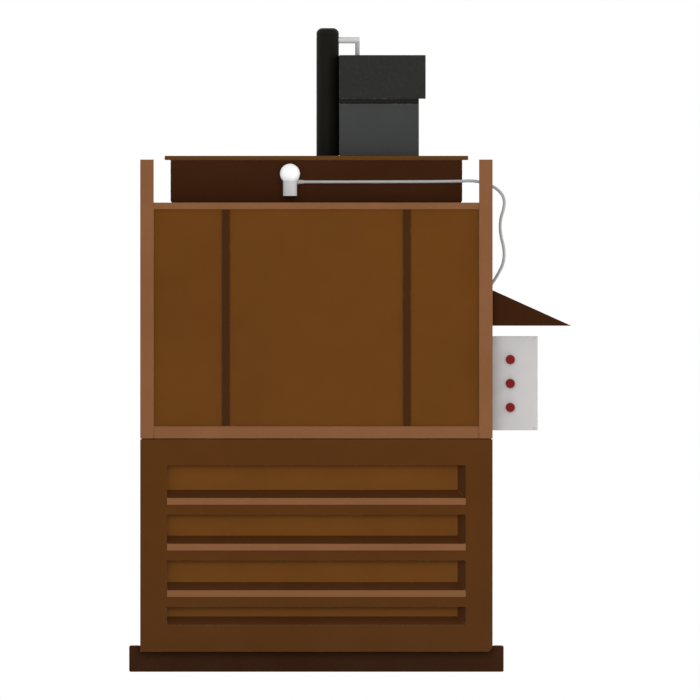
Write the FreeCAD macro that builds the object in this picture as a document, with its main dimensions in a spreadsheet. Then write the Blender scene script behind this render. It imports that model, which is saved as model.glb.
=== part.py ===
"""Recycling baler: a vertical press with a lifting feed gate and a hinged bale door.

The frame has its origin at the centre of the base's underside, +Z up and the
front facing -Y. All sizes are in millimetres.
"""
import FreeCAD, Part
import math
import os
import Sketcher

doc = FreeCAD.newDocument("recycling_baler")

# Driving dimensions. Heights are above the floor, fronts are distances
# from the middle of the base towards the operator.
DIMENSIONS = {
    # base frame and anchors
    "base_ledge": 49,
    "base_depth": 830,
    "base_height": 105,
    "base_beam": 100,
    "base_sheet": 5,
    "anchor_bore": 18,
    "anchor_inset": 22,
    "anchor_end": 85,
    "anchor_sleeve": 40,
    # bale chamber
    "chamber_width": 1300,
    "back_ledge": 5,
    "chamber_top": 1877,
    "post_size": 50,
    "post_sheet": 4,
    "wall_plate": 6,
    "rib_width": 60,
    "rib_pitch": 300,
    "rib_below_sill": 93,
    "rib_below_top": 167,
    "floor_plate": 12,
    "groove_width": 40,
    "groove_depth": 8,
    "groove_pitch": 280,
    "sill_height": 933,
    "header_height": 317,
    "header_flange": 40,
    "top_beam_width": 80,
    "top_beam_height": 100,
    # gate and its rails
    "rail_depth": 65,
    "rail_overlap": 4.8,
    "rail_width": 54,
    "rail_sheet": 4,
    "rail_rise": 172,
    "rail_stop": 20,
    "gate_gap": 1,
    "gate_sheet": 3,
    "gate_bottom_rail": 49,
    "gate_top_rail": 27,
    "gate_rib_width": 32,
    "gate_rib_place": 362,
    "gate_recess": 7,
    # bale door and hinges
    "door_bottom": 80,
    "door_gap": 3,
    "door_sheet": 4,
    "door_bar": 3,
    "door_seal_gap": 7,
    "door_plate": 6,
    "door_corner": 16,
    "pan_back_gap": 9,
    "pan_sheet": 3,
    "window_inset": 107.3,
    "window_margin": 104,
    "window_band": 67,
    "window_one_height": 131,
    "window_two_height": 116,
    "window_three_height": 119,
    "window_four_height": 70.4,
    "door_bar_height": 27,
    "door_beam_height": 50,
    "hinge_inset": 20,
    "hinge_skin_gap": 4,
    "knuckle_radius": 14,
    "hinge_pin_radius": 8,
    "running_gap": 0.05,
    "hinge_margin": 95,
    "knuckle_length": 50,
    "door_knuckle_length": 30,
    "hinge_block_margin": 6,
    "hinge_leaf": 8,
    "hinge_seat_gap": 0.3,
    "hinge_notch_gap": 1,
    # press head
    "head_side_gap": 70,
    "head_setback": 95,
    "head_back_gap": 94,
    "head_height": 170,
    "head_sheet": 8,
    "top_plate_lap": 27,
    "top_plate_back_lap": 10,
    "top_plate": 17,
    "bridge_plate": 20,
    # telescopic ram and platen
    "ram_place": 45,
    "cylinder_radius": 45,
    "cylinder_wall": 8,
    "cylinder_above_cover": 108,
    "cylinder_cap": 30,
    "cylinder_round": 24,
    "flange_radius": 90,
    "flange_height": 20,
    "slide_gap": 0.3,
    "stage_wall": 8.7,
    "stage_end_gap": 25,
    "stage_lip": 7,
    "rod_end_gap": 30,
    "bolt_shank": 6,
    "bolt_hole_gap": 0.3,
    "bolt_head": 10,
    "bolt_head_height": 8,
    "bolt_nut_height": 10,
    "rod_foot_inset": 5,
    "rod_foot_height": 15,
    "rod_bolt_head": 7,
    "platen_side_gap": 10,
    "platen_front_gap": 5,
    "platen_back_gap": 8,
    "platen_head_gap": 12,
    "platen_plate": 20,
    "platen_beam_width": 80,
    "platen_beam_height": 100,
    "platen_beam_pitch": 340,
    "boss_radius": 60,
    "boss_margin": 10,
    "boss_height": 25,
    "shoe_gap": 0.5,
    # power unit
    "tank_gap": 2,
    "tank_width": 318,
    "tank_depth": 326,
    "tank_height": 208,
    "tank_sheet": 4,
    "lid_height": 20,
    "cover_end_gap": 48,
    "cover_top_gap": 35,
    "cover_sheet": 3,
    "cover_slot": 6,
    "pump_inset": 72,
    "pump_size": 60,
    "motor_radius": 60,
    "motor_length": 160,
    "motor_height": 80,
    "motor_foot_inset": 20,
    "shaft_radius": 9,
    "fan_radius": 52,
    "fan_length": 25,
    "fan_gap": 10,
    "fan_blade": 3,
    "pipe_radius": 9,
    "elbow_radius": 12.6,
    "elbow_drop": 48.7,
    # lamp and cable
    "lamp_place": 105.8,
    "lamp_reach": 52,
    "lamp_rise": 115.4,
    "globe_radius": 40,
    "socket_radius": 28,
    "socket_rise": 26.6,
    "mount_block": 18,
    "lamp_arm_width": 40,
    "lamp_arm_height": 46,
    "cable_radius": 6,
    "cable_gap": 0.3,
    "cable_rise": 82.6,
    # hood and control box
    "hood_reach": 320,
    "hood_above_box": 41.2,
    "hood_rise": 144.6,
    "hood_setback": 15,
    "hood_depth": 230,
    "hood_sheet": 3,
    "box_width": 223,
    "box_above_sill": 33,
    "box_height": 377,
    "box_setback": 63,
    "box_depth": 162,
    "box_sheet": 2.5,
    "box_standoff": 6,
    "box_mount_height": 30,
    "box_mount_low": 34,
    "box_mount_inset": 12,
    "gland_radius": 11,
    "gland_height": 29,
    "gland_margin": 5,
    "cover_screw": 5.5,
    "cover_screw_height": 3,
    "cover_screw_inset": 10,
    "button_inset": 113.6,
    "button_drop": 94,
    "button_foot": 91.6,
    "button_radius": 18.4,
    "button_head": 10,
    "button_travel": 5,
    "stem_radius": 6,
    "stem_reach": 12,
    "stem_gap": 0.5,
    "stem_hole_gap": 2,
    "bezel_radius": 16,
    "bezel_height": 8,
    "contact_size": 30,
    "contact_rail": 10,
}

sheet = doc.addObject("Spreadsheet::Sheet", "Sizes")
for row, (alias, number) in enumerate(DIMENSIONS.items(), start=1):
    sheet.set(f"A{row}", alias.replace("_", " "))
    sheet.set(f"B{row}", str(number))
    sheet.setAlias(f"B{row}", alias)
doc.recompute()


class Size:
    """A length known both as a number and as an expression on the sheet."""

    def __init__(self, number, text):
        self.number = float(number)
        self.text = text

    def __add__(self, other):
        other = as_size(other)
        return Size(self.number + other.number, f"({self.text} + {other.text})")

    def __radd__(self, other):
        return as_size(other) + self

    def __sub__(self, other):
        other = as_size(other)
        return Size(self.number - other.number, f"({self.text} - {other.text})")

    def __rsub__(self, other):
        return as_size(other) - self

    def __mul__(self, factor):
        factor = as_size(factor)
        return Size(self.number * factor.number, f"({self.text} * {factor.text})")

    def __rmul__(self, factor):
        return self * factor

    def __truediv__(self, divisor):
        divisor = as_size(divisor)
        return Size(self.number / divisor.number, f"({self.text} / {divisor.text})")

    def __neg__(self):
        return Size(-self.number, f"(-1 * {self.text})")


def as_size(value):
    """A plain number becomes a constant size."""
    if isinstance(value, Size):
        return value
    return Size(value, f"({float(value):.6g})")


def size(alias):
    """The size in the named cell of the sheet."""
    return Size(sheet.get(alias), f"Sizes.{alias}")


nodes = []


def bind(item, path, value):
    """Tie one property of an object to the sheet."""
    item.setExpression(path, as_size(value).text)


def place(item, x, y, z):
    """Tie an object's position to the sheet."""
    bind(item, "Placement.Base.x", x)
    bind(item, "Placement.Base.y", y)
    bind(item, "Placement.Base.z", z)


def sub_part(item, label):
    """Name an object as one of the machine's sub-parts."""
    item.Label = label
    nodes.append(item)
    return item


def block(x, y, z):
    """A plain block between its low and high ends along each axis."""
    item = doc.addObject("Part::Box", "Block")
    bind(item, "Length", x[1] - x[0])
    bind(item, "Width", y[1] - y[0])
    bind(item, "Height", z[1] - z[0])
    place(item, x[0], y[0], z[0])
    return item


def rod_along(axis, radius, length, x, y, z):
    """A round bar that starts at a point and runs along X, Y or Z."""
    item = doc.addObject("Part::Cylinder", "Bar")
    turns = {
        "x": FreeCAD.Rotation(FreeCAD.Vector(0, 1, 0), 90),
        "y": FreeCAD.Rotation(FreeCAD.Vector(1, 0, 0), -90),
        "z": FreeCAD.Rotation(),
    }
    item.Placement = FreeCAD.Placement(FreeCAD.Vector(), turns[axis])
    bind(item, "Radius", radius)
    bind(item, "Height", length)
    place(item, x, y, z)
    return item


def fuse(items):
    """Several welded pieces as one solid, or several solids as one group."""
    item = doc.addObject("Part::MultiFuse", "Weld")
    item.Shapes = items
    item.Refine = True
    return item


def cut(base, tools):
    """A piece with the tools taken away."""
    item = doc.addObject("Part::Cut", "Cut")
    item.Base = base
    item.Tool = tools[0] if len(tools) == 1 else fuse(tools)
    item.Refine = True
    return item


def tube_beam(axis, x, y, z, thickness):
    """A rectangular tube with its open ends along one axis."""
    inner = {"x": x, "y": y, "z": z}
    for name, ends in inner.items():
        if name != axis:
            inner[name] = (ends[0] + thickness, ends[1] - thickness)
    return cut(block(x, y, z), [block(inner["x"], inner["y"], inner["z"])])


def new_body(label, x, y, z):
    """A body that is one of the sub-parts, standing at its own reference point."""
    body = doc.addObject("PartDesign::Body", label)
    place(body, x, y, z)
    return sub_part(body, label)


def new_sketch(body, plane, offset):
    """A sketch on one of the body's own planes, lifted along its normal."""
    sketch = body.newObject("Sketcher::SketchObject", "Outline")
    features = body.Origin.OriginFeatures
    support = next(item for item in features if item.Role == f"{plane}_Plane")
    sketch.AttachmentSupport = (support, [""])
    sketch.MapMode = "FlatFace"
    bind(sketch, "AttachmentOffset.Base.z", offset)
    return sketch


def fix_point(sketch, geometry, position, point):
    """Tie a sketch point's distances from the body's origin to the sheet."""
    for kind, value in zip(("DistanceX", "DistanceY"), point):
        value = as_size(value)
        rule = Sketcher.Constraint(kind, -1, 1, geometry, position, value.number)
        index = sketch.addConstraint(rule)
        sketch.setExpression(f"Constraints[{index}]", value.text)


def draw_outline(sketch, points):
    """A closed outline with straight sides between its corners."""
    corners = [FreeCAD.Vector(as_size(a).number, as_size(b).number, 0) for a, b in points]
    first = sketch.GeometryCount
    count = len(corners)
    for index, corner in enumerate(corners):
        following = corners[(index + 1) % count]
        sketch.addGeometry(Part.LineSegment(corner, following), False)
    for index, point in enumerate(points):
        after = first + (index + 1) % count
        sketch.addConstraint(Sketcher.Constraint("Coincident", first + index, 2, after, 1))
        fix_point(sketch, first + index, 1, point)


def draw_circle(sketch, centre, radius):
    """A circle about a point."""
    radius = as_size(radius)
    middle = FreeCAD.Vector(as_size(centre[0]).number, as_size(centre[1]).number, 0)
    circle = Part.Circle(middle, FreeCAD.Vector(0, 0, 1), radius.number)
    geometry = sketch.addGeometry(circle, False)
    fix_point(sketch, geometry, 3, centre)
    index = sketch.addConstraint(Sketcher.Constraint("Radius", geometry, radius.number))
    sketch.setExpression(f"Constraints[{index}]", radius.text)


def rectangle(across, up):
    """The four corners between two low and high ends."""
    return [(across[0], up[0]), (across[1], up[0]), (across[1], up[1]), (across[0], up[1])]


def feature(body, kind, sketch, length, label):
    """A pad or pocket of one sketch."""
    item = body.newObject(f"PartDesign::{kind}", label)
    item.Profile = sketch
    bind(item, "Length", length)
    return item


def pad(body, plane, outlines, length, offset=0):
    """Push closed outlines out of a plane by a length."""
    sketch = new_sketch(body, plane, offset)
    for points in outlines:
        draw_outline(sketch, points)
    return feature(body, "Pad", sketch, length, "Pad")


def pocket(body, plane, outlines, length, offset=0):
    """Cut closed outlines back from a plane by a length."""
    sketch = new_sketch(body, plane, offset)
    for points in outlines:
        draw_outline(sketch, points)
    return feature(body, "Pocket", sketch, length, "Pocket")


def turned_body(name, profile, x, y, z):
    """A body turned from a half profile of (radius, height) corners."""
    body = doc.addObject("PartDesign::Body", name)
    place(body, x, y, z)
    sketch = new_sketch(body, "XZ", 0)
    draw_outline(sketch, profile)
    item = body.newObject("PartDesign::Revolution", "Turning")
    item.Profile = sketch
    item.ReferenceAxis = (sketch, ["V_Axis"])
    item.Angle = 360
    return body


def revolve(label, profile, x, y, z):
    """A turned sub-part from a half profile of (radius, height) corners."""
    return sub_part(turned_body(label, profile, x, y, z), label)


def repeat(body, original, axis, pitch, count):
    """Repeat a feature along one of the body's axes."""
    item = body.newObject("PartDesign::LinearPattern", "Row")
    features = body.Origin.OriginFeatures
    direction = next(entry for entry in features if entry.Role == f"{axis}_Axis")
    item.Originals = [original]
    item.Direction = (direction, [""])
    item.Mode = "Spacing"
    item.Occurrences = count
    bind(item, "Offset", pitch)
    body.Tip = item
    return item


# Planes that several sub-parts share.
base_front = -size("base_depth") / 2
base_back = size("base_depth") / 2
base_top = size("base_height")
wall_inner = size("chamber_width") / 2
post_outer = wall_inner + size("post_size")
half_base = post_outer + size("base_ledge")
beam_inner = half_base - size("base_beam")
post_back = base_front + size("post_size")
chamber_back = base_back - size("post_size") - size("back_ledge")
chamber_top = size("chamber_top")
sill_top = size("sill_height")
front_face = base_front - size("rail_depth")
half_body = post_outer + size("rail_overlap")
head_front = base_front + size("head_setback")
head_back = chamber_back - size("head_back_gap")
half_rib = size("rib_width") / 2
top_rib = sill_top - size("rib_below_sill")
first_rib = top_rib - 2 * size("rib_pitch")
rail_inner = half_body - size("rail_width")
rail_sheet = size("rail_sheet")


def mirrored(side, low, high):
    """Two distances from the middle plane as low and high ends on one side."""
    return (low, high) if side > 0 else (-high, -low)


def build_base():
    """Tube frame with sleeved anchor holes in the ledges beside the chamber."""
    z = (0, base_top)
    thickness = size("base_sheet")
    bore = size("anchor_bore") / 2
    half_sleeve = size("anchor_sleeve") / 2
    anchor_y = base_back - size("anchor_end")
    for name, side in (("left", -1), ("right", 1)):
        x = mirrored(side, beam_inner, half_base)
        hollow = [
            (ends[0] + thickness, ends[1] - thickness) for ends in (x, (base_front, base_back), z)
        ]
        anchor = side * (half_base - size("anchor_inset"))
        sleeves = [
            block((anchor - half_sleeve, anchor + half_sleeve),
                  (end * anchor_y - half_sleeve, end * anchor_y + half_sleeve), z)
            for end in (-1, 1)
        ]
        beam = cut(block(x, (base_front, base_back), z), [cut(block(*hollow), sleeves)])
        holes = [
            rod_along("z", bore, base_top + 2, anchor, end * anchor_y, -1)
            for end in (-1, 1)
        ]
        sub_part(cut(beam, holes), f"base_beam_{name}")
    x = (-beam_inner, beam_inner)
    half_beam = size("base_beam") / 2
    depths = {
        "front": (base_front, base_front + size("base_beam")),
        "middle": (-half_beam, half_beam),
        "back": (base_back - size("base_beam"), base_back),
    }
    for name, y in depths.items():
        sub_part(tube_beam("x", x, y, z, thickness), f"base_beam_{name}")


def build_floor():
    """Floor plate with strap grooves that run out under the bale door."""
    floor = new_body("floor_plate", 0, 0, base_top)
    plate = rectangle((-wall_inner, wall_inner), (base_front, chamber_back))
    pad(floor, "XY", [plate], size("floor_plate"))
    doc.recompute()
    first = -1.5 * size("groove_pitch") - size("groove_width") / 2
    groove = rectangle((first, first + size("groove_width")), (base_front - 1, chamber_back + 1))
    slot = pocket(floor, "XY", [groove], size("groove_depth"), size("floor_plate"))
    doc.recompute()
    repeat(floor, slot, "X", size("groove_pitch"), 4)


def build_front_posts():
    """Square posts with closed tops in front of the side walls."""
    thickness = size("post_sheet")
    y = (base_front, post_back)
    for name, side in (("left", -1), ("right", 1)):
        outer = block(mirrored(side, wall_inner, post_outer), y, (base_top, chamber_top))
        inner = block(
            mirrored(side, wall_inner + thickness, post_outer - thickness),
            (y[0] + thickness, y[1] - thickness),
            (base_top - 1, chamber_top - thickness),
        )
        sub_part(cut(outer, [inner]), f"front_post_{name}")


def build_side_walls():
    """Side plates with folded ribs, left clear beside the feed opening."""
    plate = size("wall_plate")
    depth = chamber_back - post_back
    reach = size("post_size")
    skin = size("post_sheet")
    for name, side in (("left", -1), ("right", 1)):
        wall = new_body(f"side_wall_{name}", side * wall_inner, chamber_back, 0)
        face = rectangle(mirrored(side, as_size(0), plate), (base_top, chamber_top))
        pad(wall, "XZ", [face], depth)

        def rib_section(height, side=side):
            """A folded channel, open towards the wall."""
            return [
                (side * plate, height - half_rib),
                (side * reach, height - half_rib),
                (side * reach, height + half_rib),
                (side * plate, height + half_rib),
                (side * plate, height + half_rib - skin),
                (side * (reach - skin), height + half_rib - skin),
                (side * (reach - skin), height - half_rib + skin),
                (side * plate, height - half_rib + skin),
            ]

        pad(wall, "XZ", [rib_section(chamber_top - size("rib_below_top"))], depth)
        low_rib = pad(wall, "XZ", [rib_section(first_rib)], depth)
        doc.recompute()
        repeat(wall, low_rib, "Z", size("rib_pitch"), 3)


def build_back_wall():
    """Back plate between hollow corner posts, with folded ribs across."""
    plate = size("wall_plate")
    reach = size("post_size")
    skin = size("post_sheet")
    width = size("chamber_width")
    wall = new_body("back_wall", -wall_inner, chamber_back, 0)
    plan = [
        (-reach, 0), (width + reach, 0), (width + reach, reach), (width, reach),
        (width, plate), (0, plate), (0, reach), (-reach, reach),
    ]
    hollows = [
        rectangle((start + skin, start + reach - skin), (skin, reach - skin))
        for start in (-reach, width)
    ]
    post_pad = pad(wall, "XY", [plan] + hollows, chamber_top - base_top, base_top)
    post_pad.Refine = True
    height = first_rib
    section = [
        (plate, height - half_rib), (reach, height - half_rib),
        (reach, height + half_rib), (plate, height + half_rib),
        (plate, height + half_rib - skin), (reach - skin, height + half_rib - skin),
        (reach - skin, height - half_rib + skin), (plate, height - half_rib + skin),
    ]
    rib = pad(wall, "YZ", [section], width)
    doc.recompute()
    repeat(wall, rib, "Z", size("rib_pitch"), 5)


def build_cross_members():
    """The feed sill, the header behind the gate and the beams under the head."""
    x = (-wall_inner, wall_inner)
    thickness = size("post_sheet")
    sill = tube_beam("x", x, (base_front, post_back), (sill_top - size("post_size"), sill_top),
                     thickness)
    sub_part(sill, "feed_sill")
    header = new_body("feed_header", -wall_inner, base_front, 0)
    low = chamber_top - size("header_height")
    flange = size("header_flange")
    section = [
        (0, low), (flange, low), (flange, low + flange), (flange - thickness, low + flange),
        (flange - thickness, low + thickness), (thickness, low + thickness),
        (thickness, chamber_top - thickness), (flange, chamber_top - thickness),
        (flange, chamber_top), (0, chamber_top),
    ]
    pad(header, "YZ", [section], size("chamber_width"))
    z = (chamber_top - size("top_beam_height"), chamber_top)
    width = size("top_beam_width")
    for name, y in (("front", (head_front, head_front + width)),
                    ("back", (head_back - width, head_back))):
        sub_part(tube_beam("x", x, y, z, size("base_sheet")), f"top_beam_{name}")


def build_gate_rails():
    """Channels on the front posts that face each other, each with a stop at its foot."""
    depth = base_front - front_face
    width = size("rail_width")
    for name, side in (("left", -1), ("right", 1)):
        rail = new_body(f"gate_rail_{name}", side * rail_inner, front_face, sill_top)
        section = [
            (0, 0), (side * width, 0), (side * width, depth), (0, depth),
            (0, depth - rail_sheet), (side * (width - rail_sheet), depth - rail_sheet),
            (side * (width - rail_sheet), rail_sheet), (0, rail_sheet),
        ]
        pad(rail, "XY", [section], chamber_top + size("rail_rise") - sill_top)
        stop = rectangle(mirrored(side, as_size(0), width - rail_sheet),
                         (rail_sheet, depth - rail_sheet))
        pad(rail, "XY", [stop], size("rail_stop"))


build_base()
build_floor()
build_front_posts()
build_side_walls()
build_back_wall()
build_cross_members()
build_gate_rails()


# Planes of the head, the ram and the power unit on top of it.
half_head = wall_inner - size("head_side_gap")
head_sheet = size("head_sheet")
head_top = chamber_top + size("head_height")
ram_x = size("ram_place")
ram_y = (head_front + head_back) / 2
flange_top = chamber_top + size("flange_height")
bridge_top = flange_top + size("bridge_plate")
cylinder_radius = size("cylinder_radius")
cylinder_bore = cylinder_radius - size("cylinder_wall")
stage_outer = cylinder_bore - size("slide_gap")
stage_inner = stage_outer - size("stage_wall")
rod_radius = stage_inner - size("slide_gap")
half_platen = wall_inner - size("platen_side_gap")
boss_top = chamber_top - size("top_beam_height") - size("platen_head_gap")
platen_beam_top = boss_top - size("boss_height")
platen_top = platen_beam_top - size("platen_beam_height")
platen_bottom = platen_top - size("platen_plate")
tank_bottom = head_top + size("top_plate")
tank_top = tank_bottom + size("tank_height")
lid_top = tank_top + size("lid_height")
motor_z = lid_top + size("motor_height")
cover_top = motor_z + size("motor_radius") + size("cover_top_gap")
cylinder_top = cover_top + size("cylinder_above_cover")
cylinder_end = cylinder_top - size("cylinder_cap")
tank_left = ram_x + cylinder_radius + size("tank_gap")
tank_front = ram_y - size("tank_depth") / 2
tank_back = ram_y + size("tank_depth") / 2
pump_x = tank_left + size("pump_inset")
half_pump = size("pump_size") / 2
motor_left = pump_x + half_pump
motor_right = motor_left + size("motor_length")
fan_right = motor_right + size("fan_gap") + size("fan_length")
bolt_hole = size("bolt_shank") + size("bolt_hole_gap")
BOLT_COUNT = 4
DOME_STEPS = 2
PLATEN_RIBS = (-0.75, -0.38, 0.45, 0.8)


def hex_prism(radius, x, y, low, high):
    """A hexagon that stands on end, as a bolt, its hole or its nut."""
    item = doc.addObject("Part::Prism", "Hexagon")
    item.Polygon = 6
    bind(item, "Circumradius", radius)
    bind(item, "Height", high - low)
    place(item, x, y, low)
    return item


def hex_along_y(radius, x, y, z):
    """A hexagon that lies along Y between its low and high ends."""
    item = doc.addObject("Part::Prism", "Hexagon")
    item.Polygon = 6
    turn = FreeCAD.Rotation(FreeCAD.Vector(1, 0, 0), -90)
    item.Placement = FreeCAD.Placement(FreeCAD.Vector(), turn)
    bind(item, "Circumradius", radius)
    bind(item, "Height", y[1] - y[0])
    place(item, x, y[0], z)
    return item


def bolt_circle(radius):
    """Places of the bolts on a circle about the ram's axis."""
    for index in range(BOLT_COUNT):
        angle = math.radians(360 / BOLT_COUNT * (index + 0.5))
        yield ram_x + radius * math.cos(angle), ram_y + radius * math.sin(angle)


def build_head():
    """Welded head of front, back and end plates under a thick top plate."""
    x = (-half_head, half_head)
    z = (chamber_top, head_top)
    inner_y = (head_front + head_sheet, head_back - head_sheet)
    sub_part(block(x, (head_front, inner_y[0]), z), "head_front_plate")
    sub_part(block(x, (inner_y[1], head_back), z), "head_back_plate")
    for name, side in (("left", -1), ("right", 1)):
        ends = mirrored(side, half_head - head_sheet, half_head)
        sub_part(block(ends, inner_y, z), f"head_end_plate_{name}")
    half_top = half_head + size("top_plate_lap")
    passage = cylinder_radius + size("slide_gap")
    plate = block((-half_top, half_top), (head_front, head_back + size("top_plate_back_lap")),
                  (head_top, tank_bottom))
    hole = rod_along("z", passage, size("top_plate") + 2, ram_x, ram_y, head_top - 1)
    sub_part(cut(plate, [hole]), "head_top_plate")
    bridge = block((head_sheet - half_head, half_head - head_sheet), inner_y,
                   (flange_top, bridge_top))
    holes = [rod_along("z", passage, size("bridge_plate") + 2, ram_x, ram_y, flange_top - 1)]
    pitch_radius = (cylinder_radius + size("flange_radius")) / 2
    for bolt_x, bolt_y in bolt_circle(pitch_radius):
        holes.append(hex_prism(bolt_hole, bolt_x, bolt_y, flange_top - 1, bridge_top + 1))
    sub_part(cut(bridge, holes), "cylinder_bridge")


def build_cylinder():
    """Turned cylinder with a domed cap, bolted by its flange under the bridge plate."""
    flange = size("flange_radius")
    dome = size("cylinder_round")
    profile = [
        (0, cylinder_end), (cylinder_bore, cylinder_end), (cylinder_bore, chamber_top),
        (flange, chamber_top), (flange, flange_top), (cylinder_radius, flange_top),
    ]
    for step in range(DOME_STEPS + 1):
        turn = math.radians(90 * step / DOME_STEPS)
        profile.append((cylinder_radius - dome * (1 - math.cos(turn)),
                        cylinder_top - dome * (1 - math.sin(turn))))
    profile.append((0, cylinder_top))
    tube = turned_body("CylinderTube", profile, ram_x, ram_y, 0)
    holes = []
    bolts = []
    head = size("bolt_head")
    head_low = chamber_top - size("bolt_head_height")
    nut_high = bridge_top + size("bolt_nut_height")
    for bolt_x, bolt_y in bolt_circle((cylinder_radius + flange) / 2):
        holes.append(hex_prism(bolt_hole, bolt_x, bolt_y, chamber_top - 1, flange_top + 1))
        bolts.append(fuse([
            hex_prism(size("bolt_shank"), bolt_x, bolt_y, chamber_top, bridge_top),
            hex_prism(head, bolt_x, bolt_y, head_low, chamber_top),
            hex_prism(head, bolt_x, bolt_y, bridge_top, nut_high),
        ]))
    sub_part(cut(tube, holes), "ram_cylinder")
    sub_part(fuse(bolts), "cylinder_bolts")


def build_ram():
    """Two-stage ram: a sliding tube and the rod whose foot is bolted to the platen."""
    low = chamber_top - size("stage_lip")
    high = cylinder_end - size("stage_end_gap")
    revolve("ram_stage", [
        (stage_inner, low), (stage_outer, low), (stage_outer, high), (stage_inner, high),
    ], ram_x, ram_y, 0)
    rod_top = cylinder_end - size("rod_end_gap")
    foot = size("boss_radius") - size("rod_foot_inset")
    foot_top = boss_top + size("rod_foot_height")
    revolve("ram_rod", [
        (0, boss_top), (foot, boss_top), (foot, foot_top), (rod_radius, foot_top),
        (rod_radius, rod_top), (0, rod_top),
    ], ram_x, ram_y, 0)
    head = size("rod_bolt_head")
    heads = [
        hex_prism(head, bolt_x, bolt_y, foot_top, foot_top + head)
        for bolt_x, bolt_y in bolt_circle((rod_radius + foot) / 2)
    ]
    sub_part(fuse(heads), "rod_bolts")


def build_platen():
    """Press plate with strap grooves, its welded frame and the guide shoes."""
    plate = new_body("platen_plate", 0, 0, platen_bottom)
    y = (post_back + size("platen_front_gap"), chamber_back - size("platen_back_gap"))
    pad(plate, "XY", [rectangle((-half_platen, half_platen), y)], size("platen_plate"))
    doc.recompute()
    first = -1.5 * size("groove_pitch") - size("groove_width") / 2
    groove = rectangle((first, first + size("groove_width")), (y[0] - 1, y[1] + 1))
    slot = pocket(plate, "XY", [groove], size("groove_depth"))
    slot.Reversed = True
    doc.recompute()
    repeat(plate, slot, "X", size("groove_pitch"), 4)

    half_beam = size("platen_beam_width") / 2
    half_pitch = size("platen_beam_pitch") / 2
    thickness = size("base_sheet")
    z = (platen_top, platen_beam_top)
    beam_rows = [(ram_y + side * half_pitch - half_beam, ram_y + side * half_pitch + half_beam)
                 for side in (-1, 1)]
    pieces = [tube_beam("x", (-half_platen, half_platen), row, z, thickness)
              for row in beam_rows]
    between = (beam_rows[0][1], beam_rows[1][0])
    boss = size("boss_radius")
    ribs = [(half_platen * place_along, half_beam) for place_along in PLATEN_RIBS]
    for middle, half_width in ribs + [(ram_x, boss + size("boss_margin"))]:
        rib = (middle - half_width, middle + half_width)
        pieces.append(tube_beam("y", rib, between, z, thickness))
    pieces.append(rod_along("z", boss, size("boss_height"), ram_x, ram_y, platen_beam_top))
    sub_part(fuse(pieces), "platen_frame")

    for name, side in (("left", -1), ("right", 1)):
        reach = mirrored(side, half_platen, wall_inner - size("shoe_gap"))
        shoes = [block(reach, row, z) for row in beam_rows]
        sub_part(fuse(shoes), f"guide_shoes_{name}")


def build_tank():
    """Folded oil tank with a shallow lid."""
    x = (tank_left, tank_left + size("tank_width"))
    y = (tank_front, tank_back)
    thin = size("tank_sheet")
    inner_x = (x[0] + thin, x[1] - thin)
    inner_y = (y[0] + thin, y[1] - thin)
    tank = cut(block(x, y, (tank_bottom, tank_top)),
               [block(inner_x, inner_y, (tank_bottom + thin, tank_top + 1))])
    sub_part(tank, "oil_tank")
    lid = cut(block(x, y, (tank_top, lid_top)),
              [block(inner_x, inner_y, (tank_top - 1, lid_top - thin))])
    sub_part(lid, "tank_lid")


def build_motor():
    """Pump and motor on the lid, with the shaft and fan turning at the motor's end."""
    shaft = size("shaft_radius")
    bore_depth = size("shaft_radius") * 2 + 3
    radius = size("motor_radius")
    casing = rod_along("x", radius, size("motor_length"), motor_left, ram_y, motor_z)
    inset = size("motor_foot_inset")
    foot = block((motor_left + inset, motor_right - inset), (ram_y - radius, ram_y + radius),
                 (lid_top, motor_z - radius / 2))
    bore = rod_along("x", shaft + size("running_gap"), bore_depth + 1,
                     motor_right - bore_depth, ram_y, motor_z)
    sub_part(cut(fuse([casing, foot]), [bore]), "motor")
    pump = block((pump_x - half_pump, motor_left), (ram_y - half_pump, ram_y + half_pump),
                 (motor_z - half_pump, motor_z + half_pump))
    sub_part(pump, "pump")
    start = motor_right - bore_depth + 1
    fan_start = fan_right - size("fan_length")
    rotor = new_body("motor_rotor", start, ram_y, motor_z)
    hub_place = fan_start - start
    length = size("fan_length")
    sketch = new_sketch(rotor, "YZ", 0)
    draw_circle(sketch, (0, 0), shaft)
    feature(rotor, "Pad", sketch, hub_place + length, "Shaft")
    sketch = new_sketch(rotor, "YZ", hub_place)
    draw_circle(sketch, (0, 0), shaft * 2)
    feature(rotor, "Pad", sketch, length, "Hub")
    half_blade = size("fan_blade") / 2
    blade = pad(rotor, "YZ", [rectangle((-half_blade, half_blade), (shaft + 2, size("fan_radius")))],
                length, hub_place)
    doc.recompute()
    ring = rotor.newObject("PartDesign::PolarPattern", "Blades")
    ring.Originals = [blade]
    axis = next(entry for entry in rotor.Origin.OriginFeatures if entry.Role == "X_Axis")
    ring.Axis = (axis, [""])
    ring.Angle = 360
    ring.Occurrences = 8
    rotor.Tip = ring


def build_motor_cover():
    """Folded cover, open below, with cooling slots in its right end."""
    width = fan_right + size("cover_end_gap") - tank_left
    depth = size("tank_depth")
    height = cover_top - lid_top
    thin = size("cover_sheet")
    cover = new_body("motor_cover", tank_left, tank_front, lid_top)
    pad(cover, "XY", [rectangle((0, width), (0, depth))], height)
    doc.recompute()
    hollow = pocket(cover, "XY", [rectangle((thin, width - thin), (thin, depth - thin))],
                    height - thin)
    hollow.Reversed = True
    doc.recompute()
    sketch = new_sketch(cover, "XY", height)
    draw_circle(sketch, (pump_x - tank_left, depth / 2), size("pipe_radius") + 1)
    feature(cover, "Pocket", sketch, thin + 1, "PipeHole")
    doc.recompute()
    row = rectangle((depth * 0.2, depth * 0.8), (height * 0.25, height * 0.25 + size("cover_slot")))
    slot = pocket(cover, "YZ", [row], thin + 2, width + 1)
    doc.recompute()
    repeat(cover, slot, "Z", height * 0.1, 6)


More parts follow.
